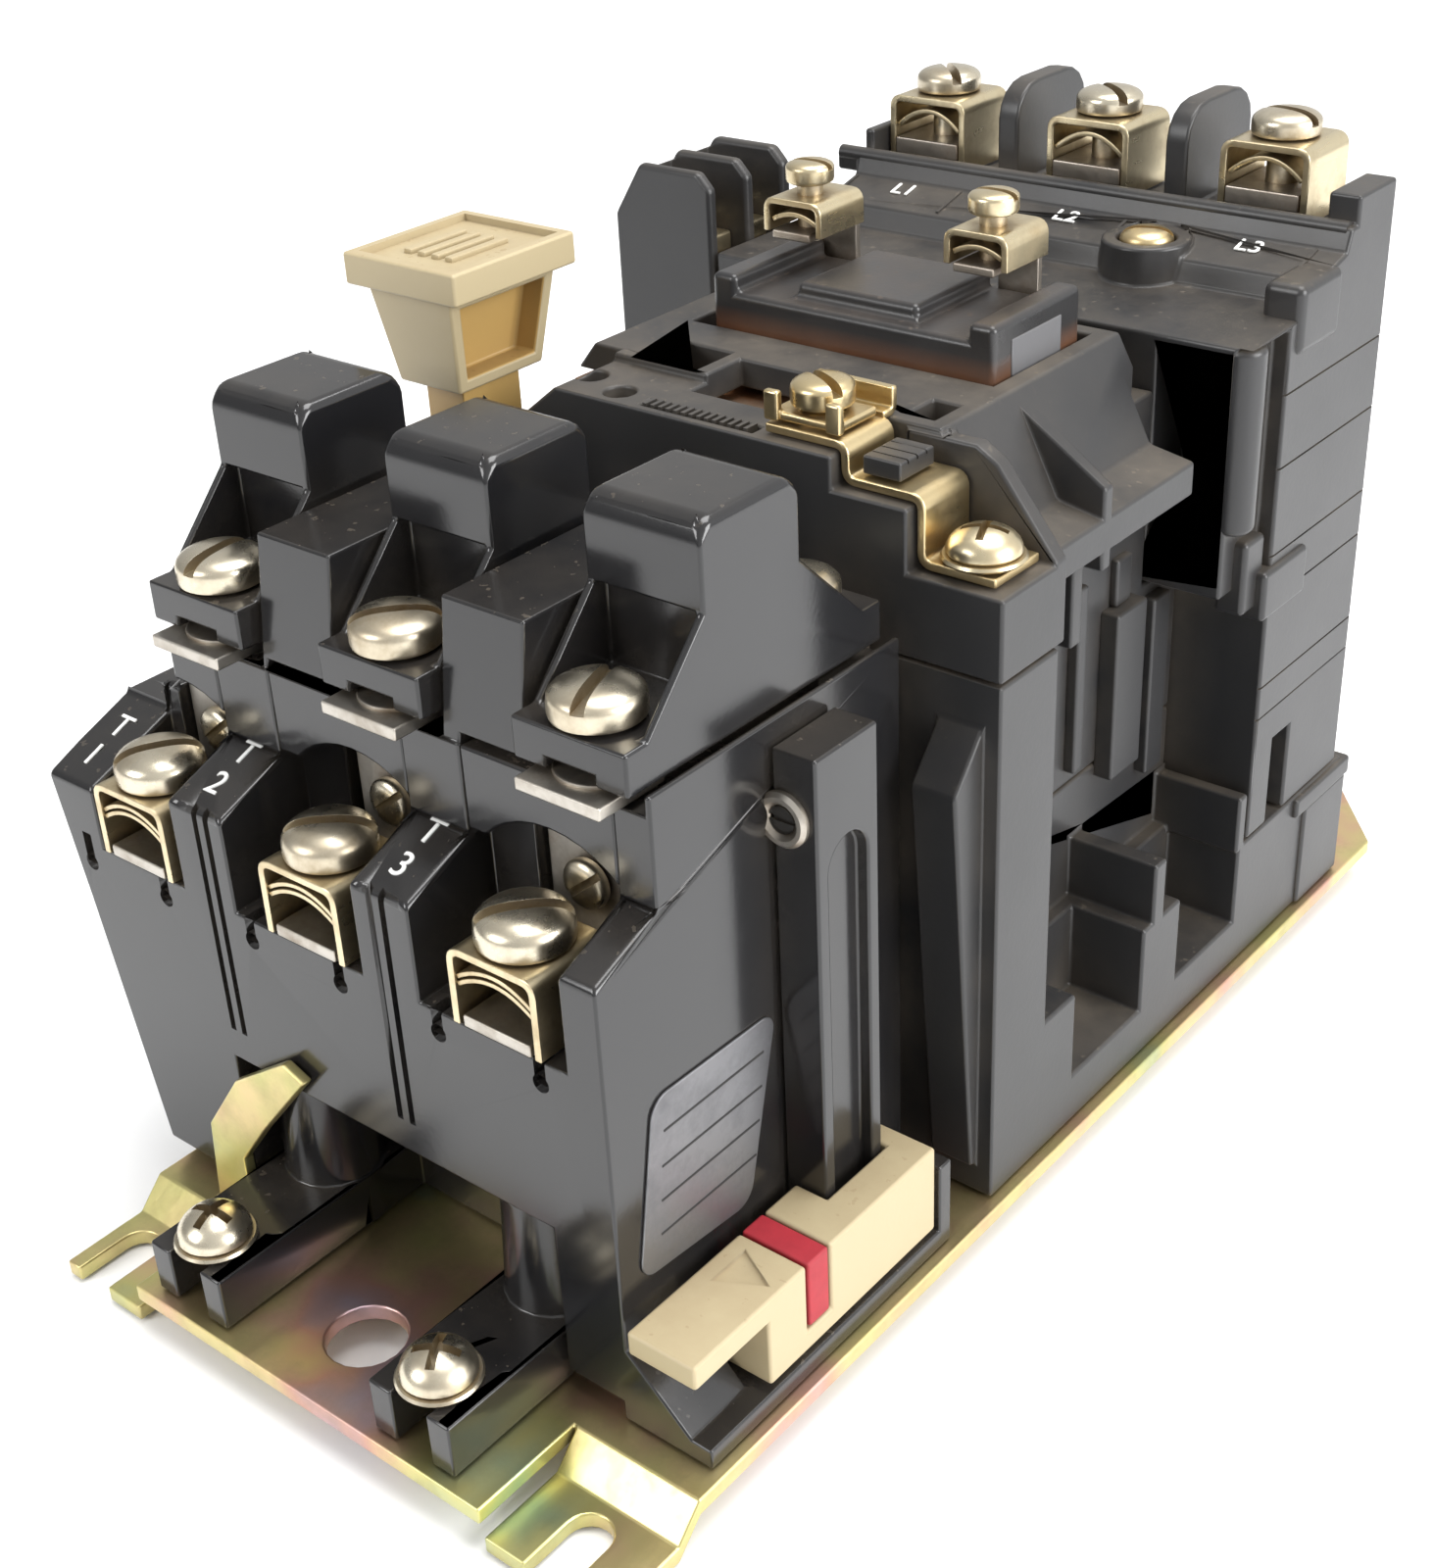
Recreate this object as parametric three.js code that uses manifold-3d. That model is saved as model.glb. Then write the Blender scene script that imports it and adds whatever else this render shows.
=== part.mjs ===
// Magnetic motor starter: contactor and thermal overload relay on a common steel plate.
// Millimetres, +Z away from the mounting surface, +Y towards the line terminals.
import * as THREE from 'three';
import { mergeVertices } from 'three/addons/utils/BufferGeometryUtils.js';
import Module from 'manifold-3d';

const wasm = await Module();
wasm.setup();

// ---- driving dimensions ----
const GAP = 0.3; // clearance between pieces that rest on each other
const PLAY = 0.1; // under a screw head
const SIDES = 20; // facets of a round part
const OVER = 1; // how far a cutting tool reaches past the face it opens
const POLES = [-1, 0, 1];

const PLATE = { x0: -36.8, x1: 46.3, y0: -87, y1: 88, bottom: 3.5, top: 5.5, cornerX: 10, cornerY: 12 };
const TAB = { footTop: 2, bendY: 10.5, bendRun: 3.5, lap: 4, slot: 5.2, slotLength: 9 };
const TABS = [ // slots 70 mm apart at the near end, one on the middle line at the far end
  { x0: PLATE.x0, x1: -23.8, slotX: -32, end: PLATE.y0 },
  { x0: 30, x1: PLATE.x1, slotX: 38, end: PLATE.y0 },
  { x0: -5, x1: 11, slotX: 3, end: PLATE.y1 },
];
const PLATE_HOLE = { x: 3.2, y: -77, r: 4.5 };
const TONGUE = { y0: -71.4, y1: -70, neckX0: -28, neckX1: -21.3 }; // bent-up ear beside the left foot
const TONGUE_EDGE = [[-26.7, 16.7], [-20.4, 25.4], [-11.2, 31.8], [-8, 30.5], [-16.5, 20.3], [-21.3, 14]];

const SEAT = PLATE.top + GAP; // underside of the housings
const HOUSING = { x0: -31, x1: 45, y0: -17.3, y1: 64, midX: 7, footY: 66 };
const SPLIT = 40; // parting height of the contactor housing
const FAR_SPLIT = 24; // parting height under the line block
const COLUMN = { x0: 32, x1: 45, y0: -19.6, y1: -8.7, sleeve: 71, top: 80.5, wall: 2.2 };
const PILASTER = { x0: 37.5, x1: 43, y: -24.6, top: 66, shoulder: 60, toe: 10 };
const RECESS = { x: 33, pocketX: 35, y0: -8.7, y1: 39, floor: 24, sill: 12.4 };
const POCKETS = [[-2.2, 13.3], [22.2, 37]];
const RECESS_WALLS = [[15.4, 18, 32], [36.4, 38.4, 31]];
const CAVITY = { x0: -22, x1: 30.5, farX1: 41, y0: -9.8, y1: 60, floor: 12, inset: 4, throat: 58 };
const COVER = {
  top: 92, x0: -17, x1: 31, y0: -19.6, y1: 25.5, shelf: 80, shelfX: 42.5, lip: 4, roof: 3.4,
  wingY1: 23, bridgeTop: 84 };
const GUSSET = { y0: 3.6, y1: 5.4, z0: 74, endTop: 83.4 };
const LEDGES = { bar: 91, barX: 24.4, mid: 87.4, midX: 33.6 }; // steps of the near edge under the strap
const COIL_WELL = { x0: -12.5, x1: 28.7, y0: 3.8, y1: 23.2 };
const COMB = { x0: -1.6, x1: 13.6, y0: -18.4, y1: -16.6 };
const WINDOWS = [[-10, -1.6, -9.4, -2.4], [0.4, 12.6, -12.2, -3.6], [25.4, 28.8, -7.6, -2.8]];
const COVER_HOLES = [[-6, -16.6], [-12, -14.4]];
const NOTCH = { x1: -18.5, y1: -11.6, z0: 34 }; // corner left free for the reset stem

const LINE = {
  y0: 30.6, y1: 64, wallY: 39, sill: 60, top: 91.6, deck: 96, ridge: 98.6, end: 102, endY: 54.4 };
// The deck is narrower than the body at its left end.
const LINE_STEP = { x: -24.5, z: 90, wall: 1.4, wallTop: 101.4, ridgeX: -28 };
const STRIP = { foot: 44.6, edgeY: 45.5, edge: 94.4, ridgeY: 53 }; // sloped strip that carries the marks
const LINE_LIP = { x0: -22, x1: 40.7, y1: 69, z0: 92 };
const BARRIER = { half: 1.5, y0: 58.4, y1: 75, root: 91, top: 108.3, drop: 4.4, arc: 5 };
const LINE_PITCH = 24;
const LINE_X = POLES.map((i) => HOUSING.midX + i * LINE_PITCH);
const LINE_BAR = { half: 3.2, y0: 57.4, y1: 66.6, z0: 96.4, sheet: 1.4 };
const LINE_CLAMP = { y: 63, top: 105.4, halfY: 5.2, head: 4.5, shank: 3.2 };
const COVER_SCREW = { x: 22.1, y: 46.7, head: 3.2, drop: 2 };

const COIL = { x0: -9.8, x1: 28.2, y0: 4.2, y1: 21.6, z0: 67.5, z1: 80.6, top: 98, rim: 3.4 };
const BOBBIN = { x0: -12.4, x1: 22.4, y0: -9.4, y1: 14 };
const CORE = { x0: -20, x1: 30, y0: -9, y1: 3, z0: 66.5, yoke: 81, z1: 87.5, leg: 7, midX: 5, half: 4.5 };
const ARMATURE = { z0: 55.3, z1: 61.3 };
const CONTACT_X = [-14, 7, 26.5];
const CONTACT = { half: 3, fixed: 52, sheet: 1.4, bridge: 45.1, y0: 42, y1: 58, reach: 4.5, tip: 1.8 };
const CROSSBAR = { x0: -19, x1: 29.8, y0: -9, y1: 56, z0: 38, z1: 43.2, postX: [-3.5, 16.7], postHalf: 2.4 };
const SPRING = { x: -3.5, y: 9, r: 2.6, wire: 0.45, turns: 5, z0: 43.8, z1: 66.9, steps: 9 };

const COIL_SCREW_X = [-5, 19.8];
const COIL_CLAMP = { y: 17.4, top: 104.6, half: 4.1, halfY: 4.1, head: 2.8, shank: 3.2 };
const COIL_TERMINAL = { y0: 12.8, y1: 22.9, z0: 90, z1: 101, sheet: 1, half: 2.6 };

const CLAMP = { half: 5.8, leg: 4.2, sheet: 1.1, wire: 2.2 };
const SCREW = { rise: 3, slot: 1.4, slotDepth: 1.3, shank: 2.1, chamfer: 0.7, turn: 35 };
const PAN = { washer: 0.8, dome: 0.9, crown: 2, arm: 2.4, armHalf: 0.5, armDepth: 0.6 };

const STRAP = { y0: -18.2, y1: -10.2, sheet: 1, x0: 15.2, x1: 43.2, backY: -8.2, backTop: 95, fork: 5.2 };
const STRAP_SCREW = { x: 19.8, y: -14.4, head: 3.7, lowX: 39.6, lowY: -14.7, lowHead: 4 };
const STOP = { x0: 26.8, x1: 31.4, y0: -17.4, y1: -11.4, top: 91 };

const LOAD_PITCH = 27;
const LOAD_X = POLES.map((i) => -5.5 + i * LOAD_PITCH);
const LOAD = {
  y: -64.8, padTop: 49.6, sheet: 1.4, half: 4.4, clampTop: 57.2, riserY: -55, padY: -64,
  halfY: 5.2, head: 5.6, shank: 3.2 };
const RELAY = {
  x0: -47.9, x1: 34.5, y0: -69.5, y1: -22, upperX0: -33.6, upperY0: -60.5, top: 72.7, rim: 74.8 };
const RELAY_SIDE = [[-37.6, 0], [-38, 8], [-44, 40], [-47.5, 57], [-47.9, 64]]; // taper of the left wall
const RELAY_CAVITY = { x0: -35, x1: 31.5, y0: -53, y1: -25, top: 68 };
const ARCH = { x0: -22, x1: 26, y1: -56, top: 27 }; // opening round the feet
const RELAY_EAR = { x0: -36, x1: -18.9, y1: -12, top: 68 };
const BAY = { x: [[-39.5, -25.6], [-17.1, 2.2], [10.4, 29.9]], y1: -57.6, floor: 47.9 };
const RIB = { front: 59, back: 63.6, backY: -57.4, endX: -39.5, endFront: 55, endBack: 60 };
const FOOT_X = [-15, 19.5];
const FOOT = {
  half: 5.7, y0: -85.6, top: 12.4, notch: 2.5, screwY: -81, boss: 6, bossTop: 26, bore: 4.2,
  bossY: -63.5, rootY: -55.5 };
const LEDGE = { x1: 45, y1: -27.6, top: 8.2, endY: -30.1, endTop: 17, slopeTop: 15.5 };

const HEATER_PITCH = 26;
const HEATER_X = POLES.map((i) => 0.4 + i * HEATER_PITCH);
const HEATER = {
  half: 7, y0: -62, y1: -23.6, z0: 74.9, lip: 79.4, shoulder: 88.4, top: 97.2, screwY: -57.6,
  head: 5.4, shank: 4 };
const TOWER = { y0: -50.5, y1: -36.2, slopeY0: -59, slopeY1: -26.6, web: 0.9, round: 1.4 };
const DIVIDER_X = [-12.6, 13.4];
const DIVIDER = { half: 5.3, y0: -58.4, y1: -34, top: 87, footY0: -60.4, footY1: -30 };
const LOAD_BAR = { half: 4, padY0: -30, padY1: -24, dropY0: -21.5, dropY1: -20.1 };

const BLOCK = { x0: 34.8, x1: 40, y0: -43.5, y1: -33.5, z0: 14.2, z1: 72.3, web: 1.8, slotTop: 58.8 };
const LEVER = { x0: 36.2, x1: 44.8, y0: -71, y1: -30.4, top: 20.3, under: 17.4, foot: 9, legY: -59.6 };
const FLAG = { y0: -53, y1: -49.6, deep: 11.6 };

const RESET = {
  x: -26.6, y: -18.5, halfX: 8.5, halfY: 9.5, top: 104.8, brim: 101.2, waist: 90, base: 60, rim: 1.2 };
const RESET_BODY = { topX: 6.4, topY: 8.3, lowX: 4.7, lowY: 6.6, stemX: 3, stemY: 4.5, dish: 0.7 };

const AUX = { x0: -47.6, x1: -31.3, y0: 30, y1: 47.2, z0: 20, shoulder: 93, top: 100, chamfer: 4.6 };

const FINISH = {
  phenolic: { color: 0x1d1d1f, roughness: 0.42, metalness: 0 },
  gloss: { color: 0x131315, roughness: 0.25, metalness: 0 },
  plated: { color: 0xb9a878, roughness: 0.35, metalness: 1 },
  brass: { color: 0xc7a24c, roughness: 0.3, metalness: 1 },
  tinned: { color: 0xb5b6b8, roughness: 0.4, metalness: 1 },
  iron: { color: 0x56504a, roughness: 0.55, metalness: 0.9 },
  cream: { color: 0xd9c9a2, roughness: 0.5, metalness: 0 },
  red: { color: 0x9c1420, roughness: 0.3, metalness: 0 },
};

// ---- geometry helpers ----
function toSolid(geometry) {
  const clean = geometry.clone();
  clean.deleteAttribute('normal');
  clean.deleteAttribute('uv');
  const merged = mergeVertices(clean, 1e-4);
  return new wasm.Manifold(new wasm.Mesh({
    numProp: 3,
    vertProperties: new Float32Array(merged.attributes.position.array),
    triVerts: new Uint32Array(merged.index.array),
  }));
}

function toGeometry(solid) {
  const mesh = solid.getMesh();
  const geometry = new THREE.BufferGeometry();
  geometry.setAttribute('position', new THREE.BufferAttribute(mesh.vertProperties, 3));
  geometry.setIndex(new THREE.BufferAttribute(mesh.triVerts, 1));
  return geometry;
}

function join(...solids) {
  return solids.reduce((sum, next) => sum.add(next));
}

function cut(solid, ...tools) {
  return tools.reduce((rest, tool) => rest.subtract(tool), solid);
}

function box(x0, x1, y0, y1, z0, z1) {
  const geometry = new THREE.BoxGeometry(x1 - x0, y1 - y0, z1 - z0);
  geometry.translate((x0 + x1) / 2, (y0 + y1) / 2, (z0 + z1) / 2);
  return toSolid(geometry);
}

// box given by its middle and half sizes in x and y
function block(x, y, halfX, halfY, z0, z1) {
  return box(x - halfX, x + halfX, y - halfY, y + halfY, z0, z1);
}

// extrudes a profile along the third axis and turns its (u, v, w) into the named axes
function extrude(points, length, u, v, w) {
  const flipped = THREE.ShapeUtils.area(points.map(([a, b]) => ({ x: a, y: b }))) < 0;
  const ordered = flipped ? [...points].reverse() : points;
  const shape = new THREE.Shape(ordered.map(([a, b]) => new THREE.Vector2(a, b)));
  const geometry = new THREE.ExtrudeGeometry(shape, { depth: length, bevelEnabled: false });
  geometry.applyMatrix4(new THREE.Matrix4().makeBasis(u, v, w));
  return geometry;
}

const X = new THREE.Vector3(1, 0, 0);
const Y = new THREE.Vector3(0, 1, 0);
const Z = new THREE.Vector3(0, 0, 1);

// profile of [y, z] pairs
function alongX(points, x0, x1) {
  return toSolid(extrude(points, x1 - x0, Y, Z, X).translate(x0, 0, 0));
}

// profile of [x, z] pairs
function alongY(points, y0, y1) {
  return toSolid(extrude(points.map(([x, z]) => [z, x]), y1 - y0, Z, X, Y).translate(0, y0, 0));
}

// profile of [x, y] pairs
function alongZ(points, z0, z1) {
  return toSolid(extrude(points, z1 - z0, X, Y, Z).translate(0, 0, z0));
}

// round post along Z, tapering from r0 at the bottom to r1 at the top
function post(x, y, z0, z1, r0, r1 = r0, sides = SIDES) {
  const geometry = new THREE.CylinderGeometry(r1, r0, z1 - z0, sides);
  geometry.rotateX(Math.PI / 2);
  geometry.translate(x, y, (z0 + z1) / 2);
  return toSolid(geometry);
}

// four-sided frustum between two rectangles sharing a middle
function frustum(x, y, z0, z1, low, high) {
  const corners = ([hx, hy], z) => [[-hx, -hy, z], [hx, -hy, z], [hx, hy, z], [-hx, hy, z]];
  const points = [...corners(low, z0), ...corners(high, z1)].flatMap(([a, b, c]) => [x + a, y + b, c]);
  const sides = [0, 1, 2, 3].flatMap((i) => {
    const j = (i + 1) % 4;
    return [i, j, j + 4, i, j + 4, i + 4];
  });
  const geometry = new THREE.BufferGeometry();
  geometry.setAttribute('position', new THREE.Float32BufferAttribute(points, 3));
  geometry.setIndex([0, 2, 1, 0, 3, 2, 4, 5, 6, 4, 6, 7, ...sides]);
  return toSolid(geometry);
}

const parts = new THREE.Group();
parts.name = 'magnetic_motor_starter';

function add(name, solid, finish) {
  const mesh = new THREE.Mesh(toGeometry(solid), new THREE.MeshStandardMaterial(FINISH[finish]));
  mesh.name = name;
  parts.add(mesh);
}

// ---- common hardware ----
// slotted cheese-head screw; z is the underside of the head
function slottedScrew(x, y, z, length, head) {
  const rim = z + SCREW.rise - SCREW.chamfer;
  const body = join(
    post(x, y, z, rim, head),
    post(x, y, rim, z + SCREW.rise, head, head - SCREW.chamfer),
    post(x, y, z - length, z, SCREW.shank));
  const top = z + SCREW.rise;
  const slot = block(0, 0, head + OVER, SCREW.slot / 2, top - SCREW.slotDepth, top + OVER);
  return cut(body, slot.rotate([0, 0, SCREW.turn]).translate([x, y, 0]));
}

// round-headed screw with a cross recess; z is the underside of the washer
function panScrew(x, y, z, length, head) {
  const { washer, dome, crown, arm, armHalf, armDepth } = PAN;
  const rim = z + SCREW.rise;
  const flat = head - SCREW.chamfer;
  const body = join(
    post(x, y, z, z + washer, head + washer / 2),
    post(x, y, z + washer, rim, head, flat),
    post(x, y, rim, rim + dome, flat, head - crown),
    post(x, y, z - length, z, SCREW.shank));
  const cutTop = rim + dome + OVER;
  const arms = [[arm, armHalf], [armHalf, arm]].map(([a, b]) => block(x, y, a, b, rim - armDepth, cutTop));
  return cut(body, ...arms);
}

// inverted-U wire clamp with a bowed pressure plate under its roof; the wire enters along Y
function wireClamp(x, y, top, legBottom, halfY, half = CLAMP.half) {
  const { sheet, leg, wire } = CLAMP;
  const under = top - sheet;
  const roof = block(x, y, half, halfY, under, top);
  const walls = [-1, 1].map((side) =>
    block(x + side * (half - sheet / 2), y, sheet / 2, leg, legBottom, under));
  const bow = alongY([
    [x - half + sheet, under - wire], [x, under - wire / 2], [x + half - sheet, under - wire],
    [x + half - sheet, under], [x - half + sheet, under]], y - halfY, y + halfY);
  return cut(join(roof, ...walls, bow), post(x, y, under - wire - OVER, top + OVER, SCREW.shank + GAP));
}

// ---- base plate ----
function mountingPlate() {
  const { x0, x1, y0, y1, bottom, top, cornerX, cornerY } = PLATE;
  const [left, right] = TABS;
  const outline = [
    [x0, y0 + TAB.bendY], [left.x1, y0 + TAB.bendY], [left.x1, y0],
    [right.x0, y0], [right.x0, y0 + TAB.bendY], [x1, y0 + TAB.bendY],
    [x1, y1 - cornerY], [x1 - cornerX, y1], [x0 + cornerX, y1], [x0, y1 - cornerY]];
  const ear = [[TONGUE.neckX0, bottom], ...TONGUE_EDGE, [TONGUE.neckX1, bottom]];
  let solid = join(alongZ(outline, bottom, top), alongY(ear, TONGUE.y0, TONGUE.y1));
  for (const tab of TABS) {
    const inward = Math.sign(-tab.end);
    const bend = tab.end + inward * TAB.bendY;
    const flat = bend + inward * TAB.bendRun;
    const inner = flat + inward * TAB.lap;
    const slotEnd = tab.end + inward * (TAB.slotLength - TAB.slot / 2);
    const span = (a, b) => [Math.min(a, b), Math.max(a, b)];
    const foot = alongX([
      [tab.end, 0], [bend, 0], [flat, bottom], [inner, bottom],
      [inner, top], [flat, top], [bend, TAB.footTop], [tab.end, TAB.footTop]], tab.x0, tab.x1);
    const clear = box(tab.x0 - GAP, tab.x1 + GAP, ...span(tab.end - inward * OVER, flat), -OVER, top + OVER);
    const slot = join(
      post(tab.slotX, slotEnd, -OVER, top + OVER, TAB.slot / 2),
      box(tab.slotX - TAB.slot / 2, tab.slotX + TAB.slot / 2, ...span(tab.end - inward * OVER, slotEnd),
        -OVER, top + OVER));
    solid = cut(join(cut(solid, clear), foot), slot);
  }
  return cut(solid, post(PLATE_HOLE.x, PLATE_HOLE.y, -OVER, top + OVER, PLATE_HOLE.r));
}

// ---- contactor housings ----
function contactorBase() {
  const { x0, x1, y0, footY } = HOUSING;
  const lower = box(x0, x1, y0, footY, SEAT, FAR_SPLIT - GAP);
  const upper = box(x0, x1, y0, RECESS.y1 - GAP, SEAT, SPLIT - GAP);
  const column = box(COLUMN.x0, x1, COLUMN.y0, COLUMN.y1, SEAT, COLUMN.sleeve);
  const pilaster = alongX([
    [COLUMN.y0 + OVER, PILASTER.toe], [COLUMN.y0 + OVER, PILASTER.top], [COLUMN.y0, PILASTER.top],
    [PILASTER.y, PILASTER.shoulder], [COLUMN.y0 - OVER, PILASTER.toe]], PILASTER.x0, PILASTER.x1);
  const recess = box(RECESS.x, x1 + OVER, RECESS.y0, RECESS.y1 + OVER, RECESS.floor, SPLIT + OVER);
  const pockets = POCKETS.map(([a, b]) =>
    box(RECESS.pocketX, x1 + OVER, a, b, RECESS.sill, RECESS.floor + OVER));
  const cavity = box(CAVITY.x0, CAVITY.x1, CAVITY.y0, footY - CAVITY.inset, CAVITY.floor, SPLIT + OVER);
  const bore = box(COLUMN.x0 + COLUMN.wall, x1 - COLUMN.wall, COLUMN.y0 + COLUMN.wall,
    COLUMN.y1 - COLUMN.wall, SPLIT, COLUMN.sleeve + OVER);
  const ear = box(x0 - OVER, NOTCH.x1, y0 - OVER, NOTCH.y1, NOTCH.z0, SPLIT + OVER);
  const hollowed = cut(join(lower, upper, column, pilaster), recess, ...pockets, cavity, bore, ear);
  const walls = RECESS_WALLS.map(([a, b, z]) => box(RECESS.x - OVER, x1, a, b, RECESS.floor - OVER, z));
  return join(hollowed, ...walls);
}

function magnetCover() {
  const { top, x0, x1, y0, y1, shelf, shelfX, lip, roof, wingY1, bridgeTop } = COVER;
  const left = HOUSING.x0;
  const shoulder = alongY([
    [left, SPLIT], [RECESS.x, SPLIT], [RECESS.x, shelf - lip], [shelfX, shelf - lip], [shelfX, shelf],
    [RECESS.x + lip, shelf + 1], [x1, top], [x0, top], [left + lip, shelf], [left, shelf - lip]],
  COLUMN.y1 + GAP, y1);
  const front = alongY([
    [left + lip, SPLIT], [COLUMN.x0 - GAP, SPLIT], [COLUMN.x0 - GAP, COLUMN.sleeve + GAP],
    [COLUMN.x1, COLUMN.sleeve + GAP], [COLUMN.x1, COLUMN.top], [LEDGES.midX, COLUMN.top],
    [LEDGES.midX, LEDGES.mid], [LEDGES.barX, LEDGES.mid], [LEDGES.barX, LEDGES.bar],
    [x0 + lip, LEDGES.bar], [left + lip, shelf]], y0, COLUMN.y1 + OVER);
  const plateau = box(x0 + lip, x1, y0 + 10, COLUMN.y1 + OVER, LEDGES.mid, top);
  const fin = alongY([
    [x1 - lip, shelf], [HOUSING.x1, shelf], [HOUSING.x1, COLUMN.top + GAP], [37.9, 89.8],
    [35.3, LEDGES.bar + GAP], [x1 - lip, LEDGES.bar + GAP]], COLUMN.y1 - 1.2, COLUMN.y1 + OVER);
  const gusset = alongY([
    [RECESS.x - OVER, GUSSET.z0], [shelfX, GUSSET.z0], [shelfX, GUSSET.endTop], [x1, top - OVER]],
  GUSSET.y0, GUSSET.y1);
  const bridge = alongX([
    [y1 - OVER, SPLIT], [LINE.wallY - GAP, SPLIT], [LINE.wallY - GAP, LINE.sill - GAP],
    [LINE.y0 - GAP, LINE.sill - GAP], [LINE.y0 - GAP, bridgeTop], [y1 - OVER, bridgeTop]], left, RECESS.x);
  const wingEnd = box(RECESS.x, HOUSING.x1 + OVER, wingY1, y1 + OVER, shelf - lip - OVER, top);
  const inside = box(CAVITY.x0, CAVITY.x1, CAVITY.y0, COIL_WELL.y1, SPLIT - OVER, top - roof);
  const throat = box(CAVITY.x0, CAVITY.x1, COIL_WELL.y1 - OVER, LINE.wallY + OVER, SPLIT - OVER,
    CAVITY.throat);
  const well = box(COIL_WELL.x0, COIL_WELL.x1, COIL_WELL.y0, COIL_WELL.y1, top - 6, top + OVER);
  const slots = CONTACT_X.map((x) => box(x - 4, x + 4, y0 - OVER, CAVITY.y0 + OVER, 50, 56));
  const comb = box(COMB.x0, COMB.x1, COMB.y0, COMB.y1, 85, top + OVER);
  const windows = WINDOWS.map(([a, b, c, d]) => box(a, b, c, d, top - roof - OVER, top + OVER));
  const holes = COVER_HOLES.map(([x, y]) => post(x, y, 84, top + OVER, 1.8));
  const corner = box(left - OVER, NOTCH.x1, y0 - OVER, NOTCH.y1, SPLIT - OVER, top + OVER);
  const strapHole = post(STRAP_SCREW.lowX, STRAP_SCREW.lowY, 74, COLUMN.top + OVER, SCREW.shank + GAP);
  return cut(join(cut(shoulder, wingEnd), front, plateau, fin, gusset, bridge),
    inside, throat, well, ...slots, comb, ...windows, ...holes, corner, strapHole);
}

// A quarter of the rounded top of a barrier, about the point y.
function barrierArc(y, start) {
  const { top, drop, arc } = BARRIER;
  return [0, 1, 2, 3, 4].map((i) => {
    const angle = start + (i * Math.PI) / 8;
    return [y + arc * Math.cos(angle), top - drop + drop * Math.sin(angle)];
  });
}

function lineBlock() {
  const { x0, x1, y1 } = HOUSING;
  const { y0, wallY, sill, top, deck, ridge, end, endY } = LINE;
  const body = alongX([
    [wallY, FAR_SPLIT], [y1, FAR_SPLIT], [y1, deck], [endY, deck], [endY, ridge], [STRIP.ridgeY, ridge],
    [STRIP.ridgeY - 1, deck], [STRIP.edgeY, STRIP.edge], [STRIP.foot, top], [y0, top - 1], [y0, sill],
    [wallY, sill]], x0, x1);
  const ridgeEnd = box(LINE_STEP.ridgeX, LINE_STEP.x + OVER, STRIP.ridgeY, endY, deck, ridge);
  const step = box(x0 - OVER, LINE_STEP.x, y0 - OVER, y1 + OVER, LINE_STEP.z, end);
  const lip = box(LINE_LIP.x0, LINE_LIP.x1, y1 - OVER, LINE_LIP.y1, LINE_LIP.z0, deck);
  const ends = [
    box(LINE_STEP.x, LINE_STEP.x + LINE_STEP.wall, endY, y1, deck - OVER, LINE_STEP.wallTop),
    box(x1 - 4, x1, endY, y1, deck - OVER, end)];
  const barriers = [-0.5, 0.5].map((i) => {
    const x = HOUSING.midX + i * LINE_PITCH;
    return alongX([
      [BARRIER.y0, BARRIER.root], [LINE_LIP.y1, BARRIER.root], [BARRIER.y1, deck],
      ...barrierArc(BARRIER.y1 - BARRIER.arc, 0), ...barrierArc(BARRIER.y0 + BARRIER.arc, Math.PI / 2)],
    x - BARRIER.half, x + BARRIER.half);
  });
  const boss = post(COVER_SCREW.x, COVER_SCREW.y, top - 2, deck, COVER_SCREW.head + 2.2);
  const { x: screwX, y: screwY, head, drop } = COVER_SCREW;
  const sink = post(screwX, screwY, deck - drop, deck + OVER, head + GAP);
  const shank = post(COVER_SCREW.x, COVER_SCREW.y, deck - 8, deck, SCREW.shank + GAP);
  const shade = box(33, 42, y0 - OVER, y0 + 7, 62, 89.4);
  const chamber = box(CAVITY.x0, CAVITY.farX1, wallY + 2.4, CAVITY.y1, FAR_SPLIT - OVER, 84);
  const throat = box(CAVITY.x0, CAVITY.x1, y0 - OVER, wallY + 3, FAR_SPLIT - OVER, ARMATURE.z1);
  const bars = LINE_X.map((x) => block(x, CAVITY.y1 - 1.3, LINE_BAR.half + 0.5, 1.3, 83, deck + OVER));
  const sideSlot = box(x1 - 3, x1 + OVER, 44.1, 48.6, FAR_SPLIT - OVER, 36.2);
  const edge = box(x1 - 2.2, x1 + OVER, y0 - OVER, wallY, 20, top - 1);
  return cut(join(cut(body, step), ridgeEnd, lip, ...ends, ...barriers, boss),
    sink, shank, shade, chamber, throat, sideSlot, edge, ...bars);
}

function auxiliaryBlock() {
  const { x0, x1, y0, y1, z0, shoulder, top, chamfer } = AUX;
  const body = alongY([
    [x0, z0], [x1, z0], [x1, top - 2], [x1 - 2, top], [x0 + chamfer, top], [x0, shoulder]], y0, y1);
  const bays = [1.8, 9.4].map((y) => box(x0 + 4, x1 + OVER, y0 + y, y0 + y + 5.8, top - 12, top + OVER));
  return cut(body, ...bays);
}

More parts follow.
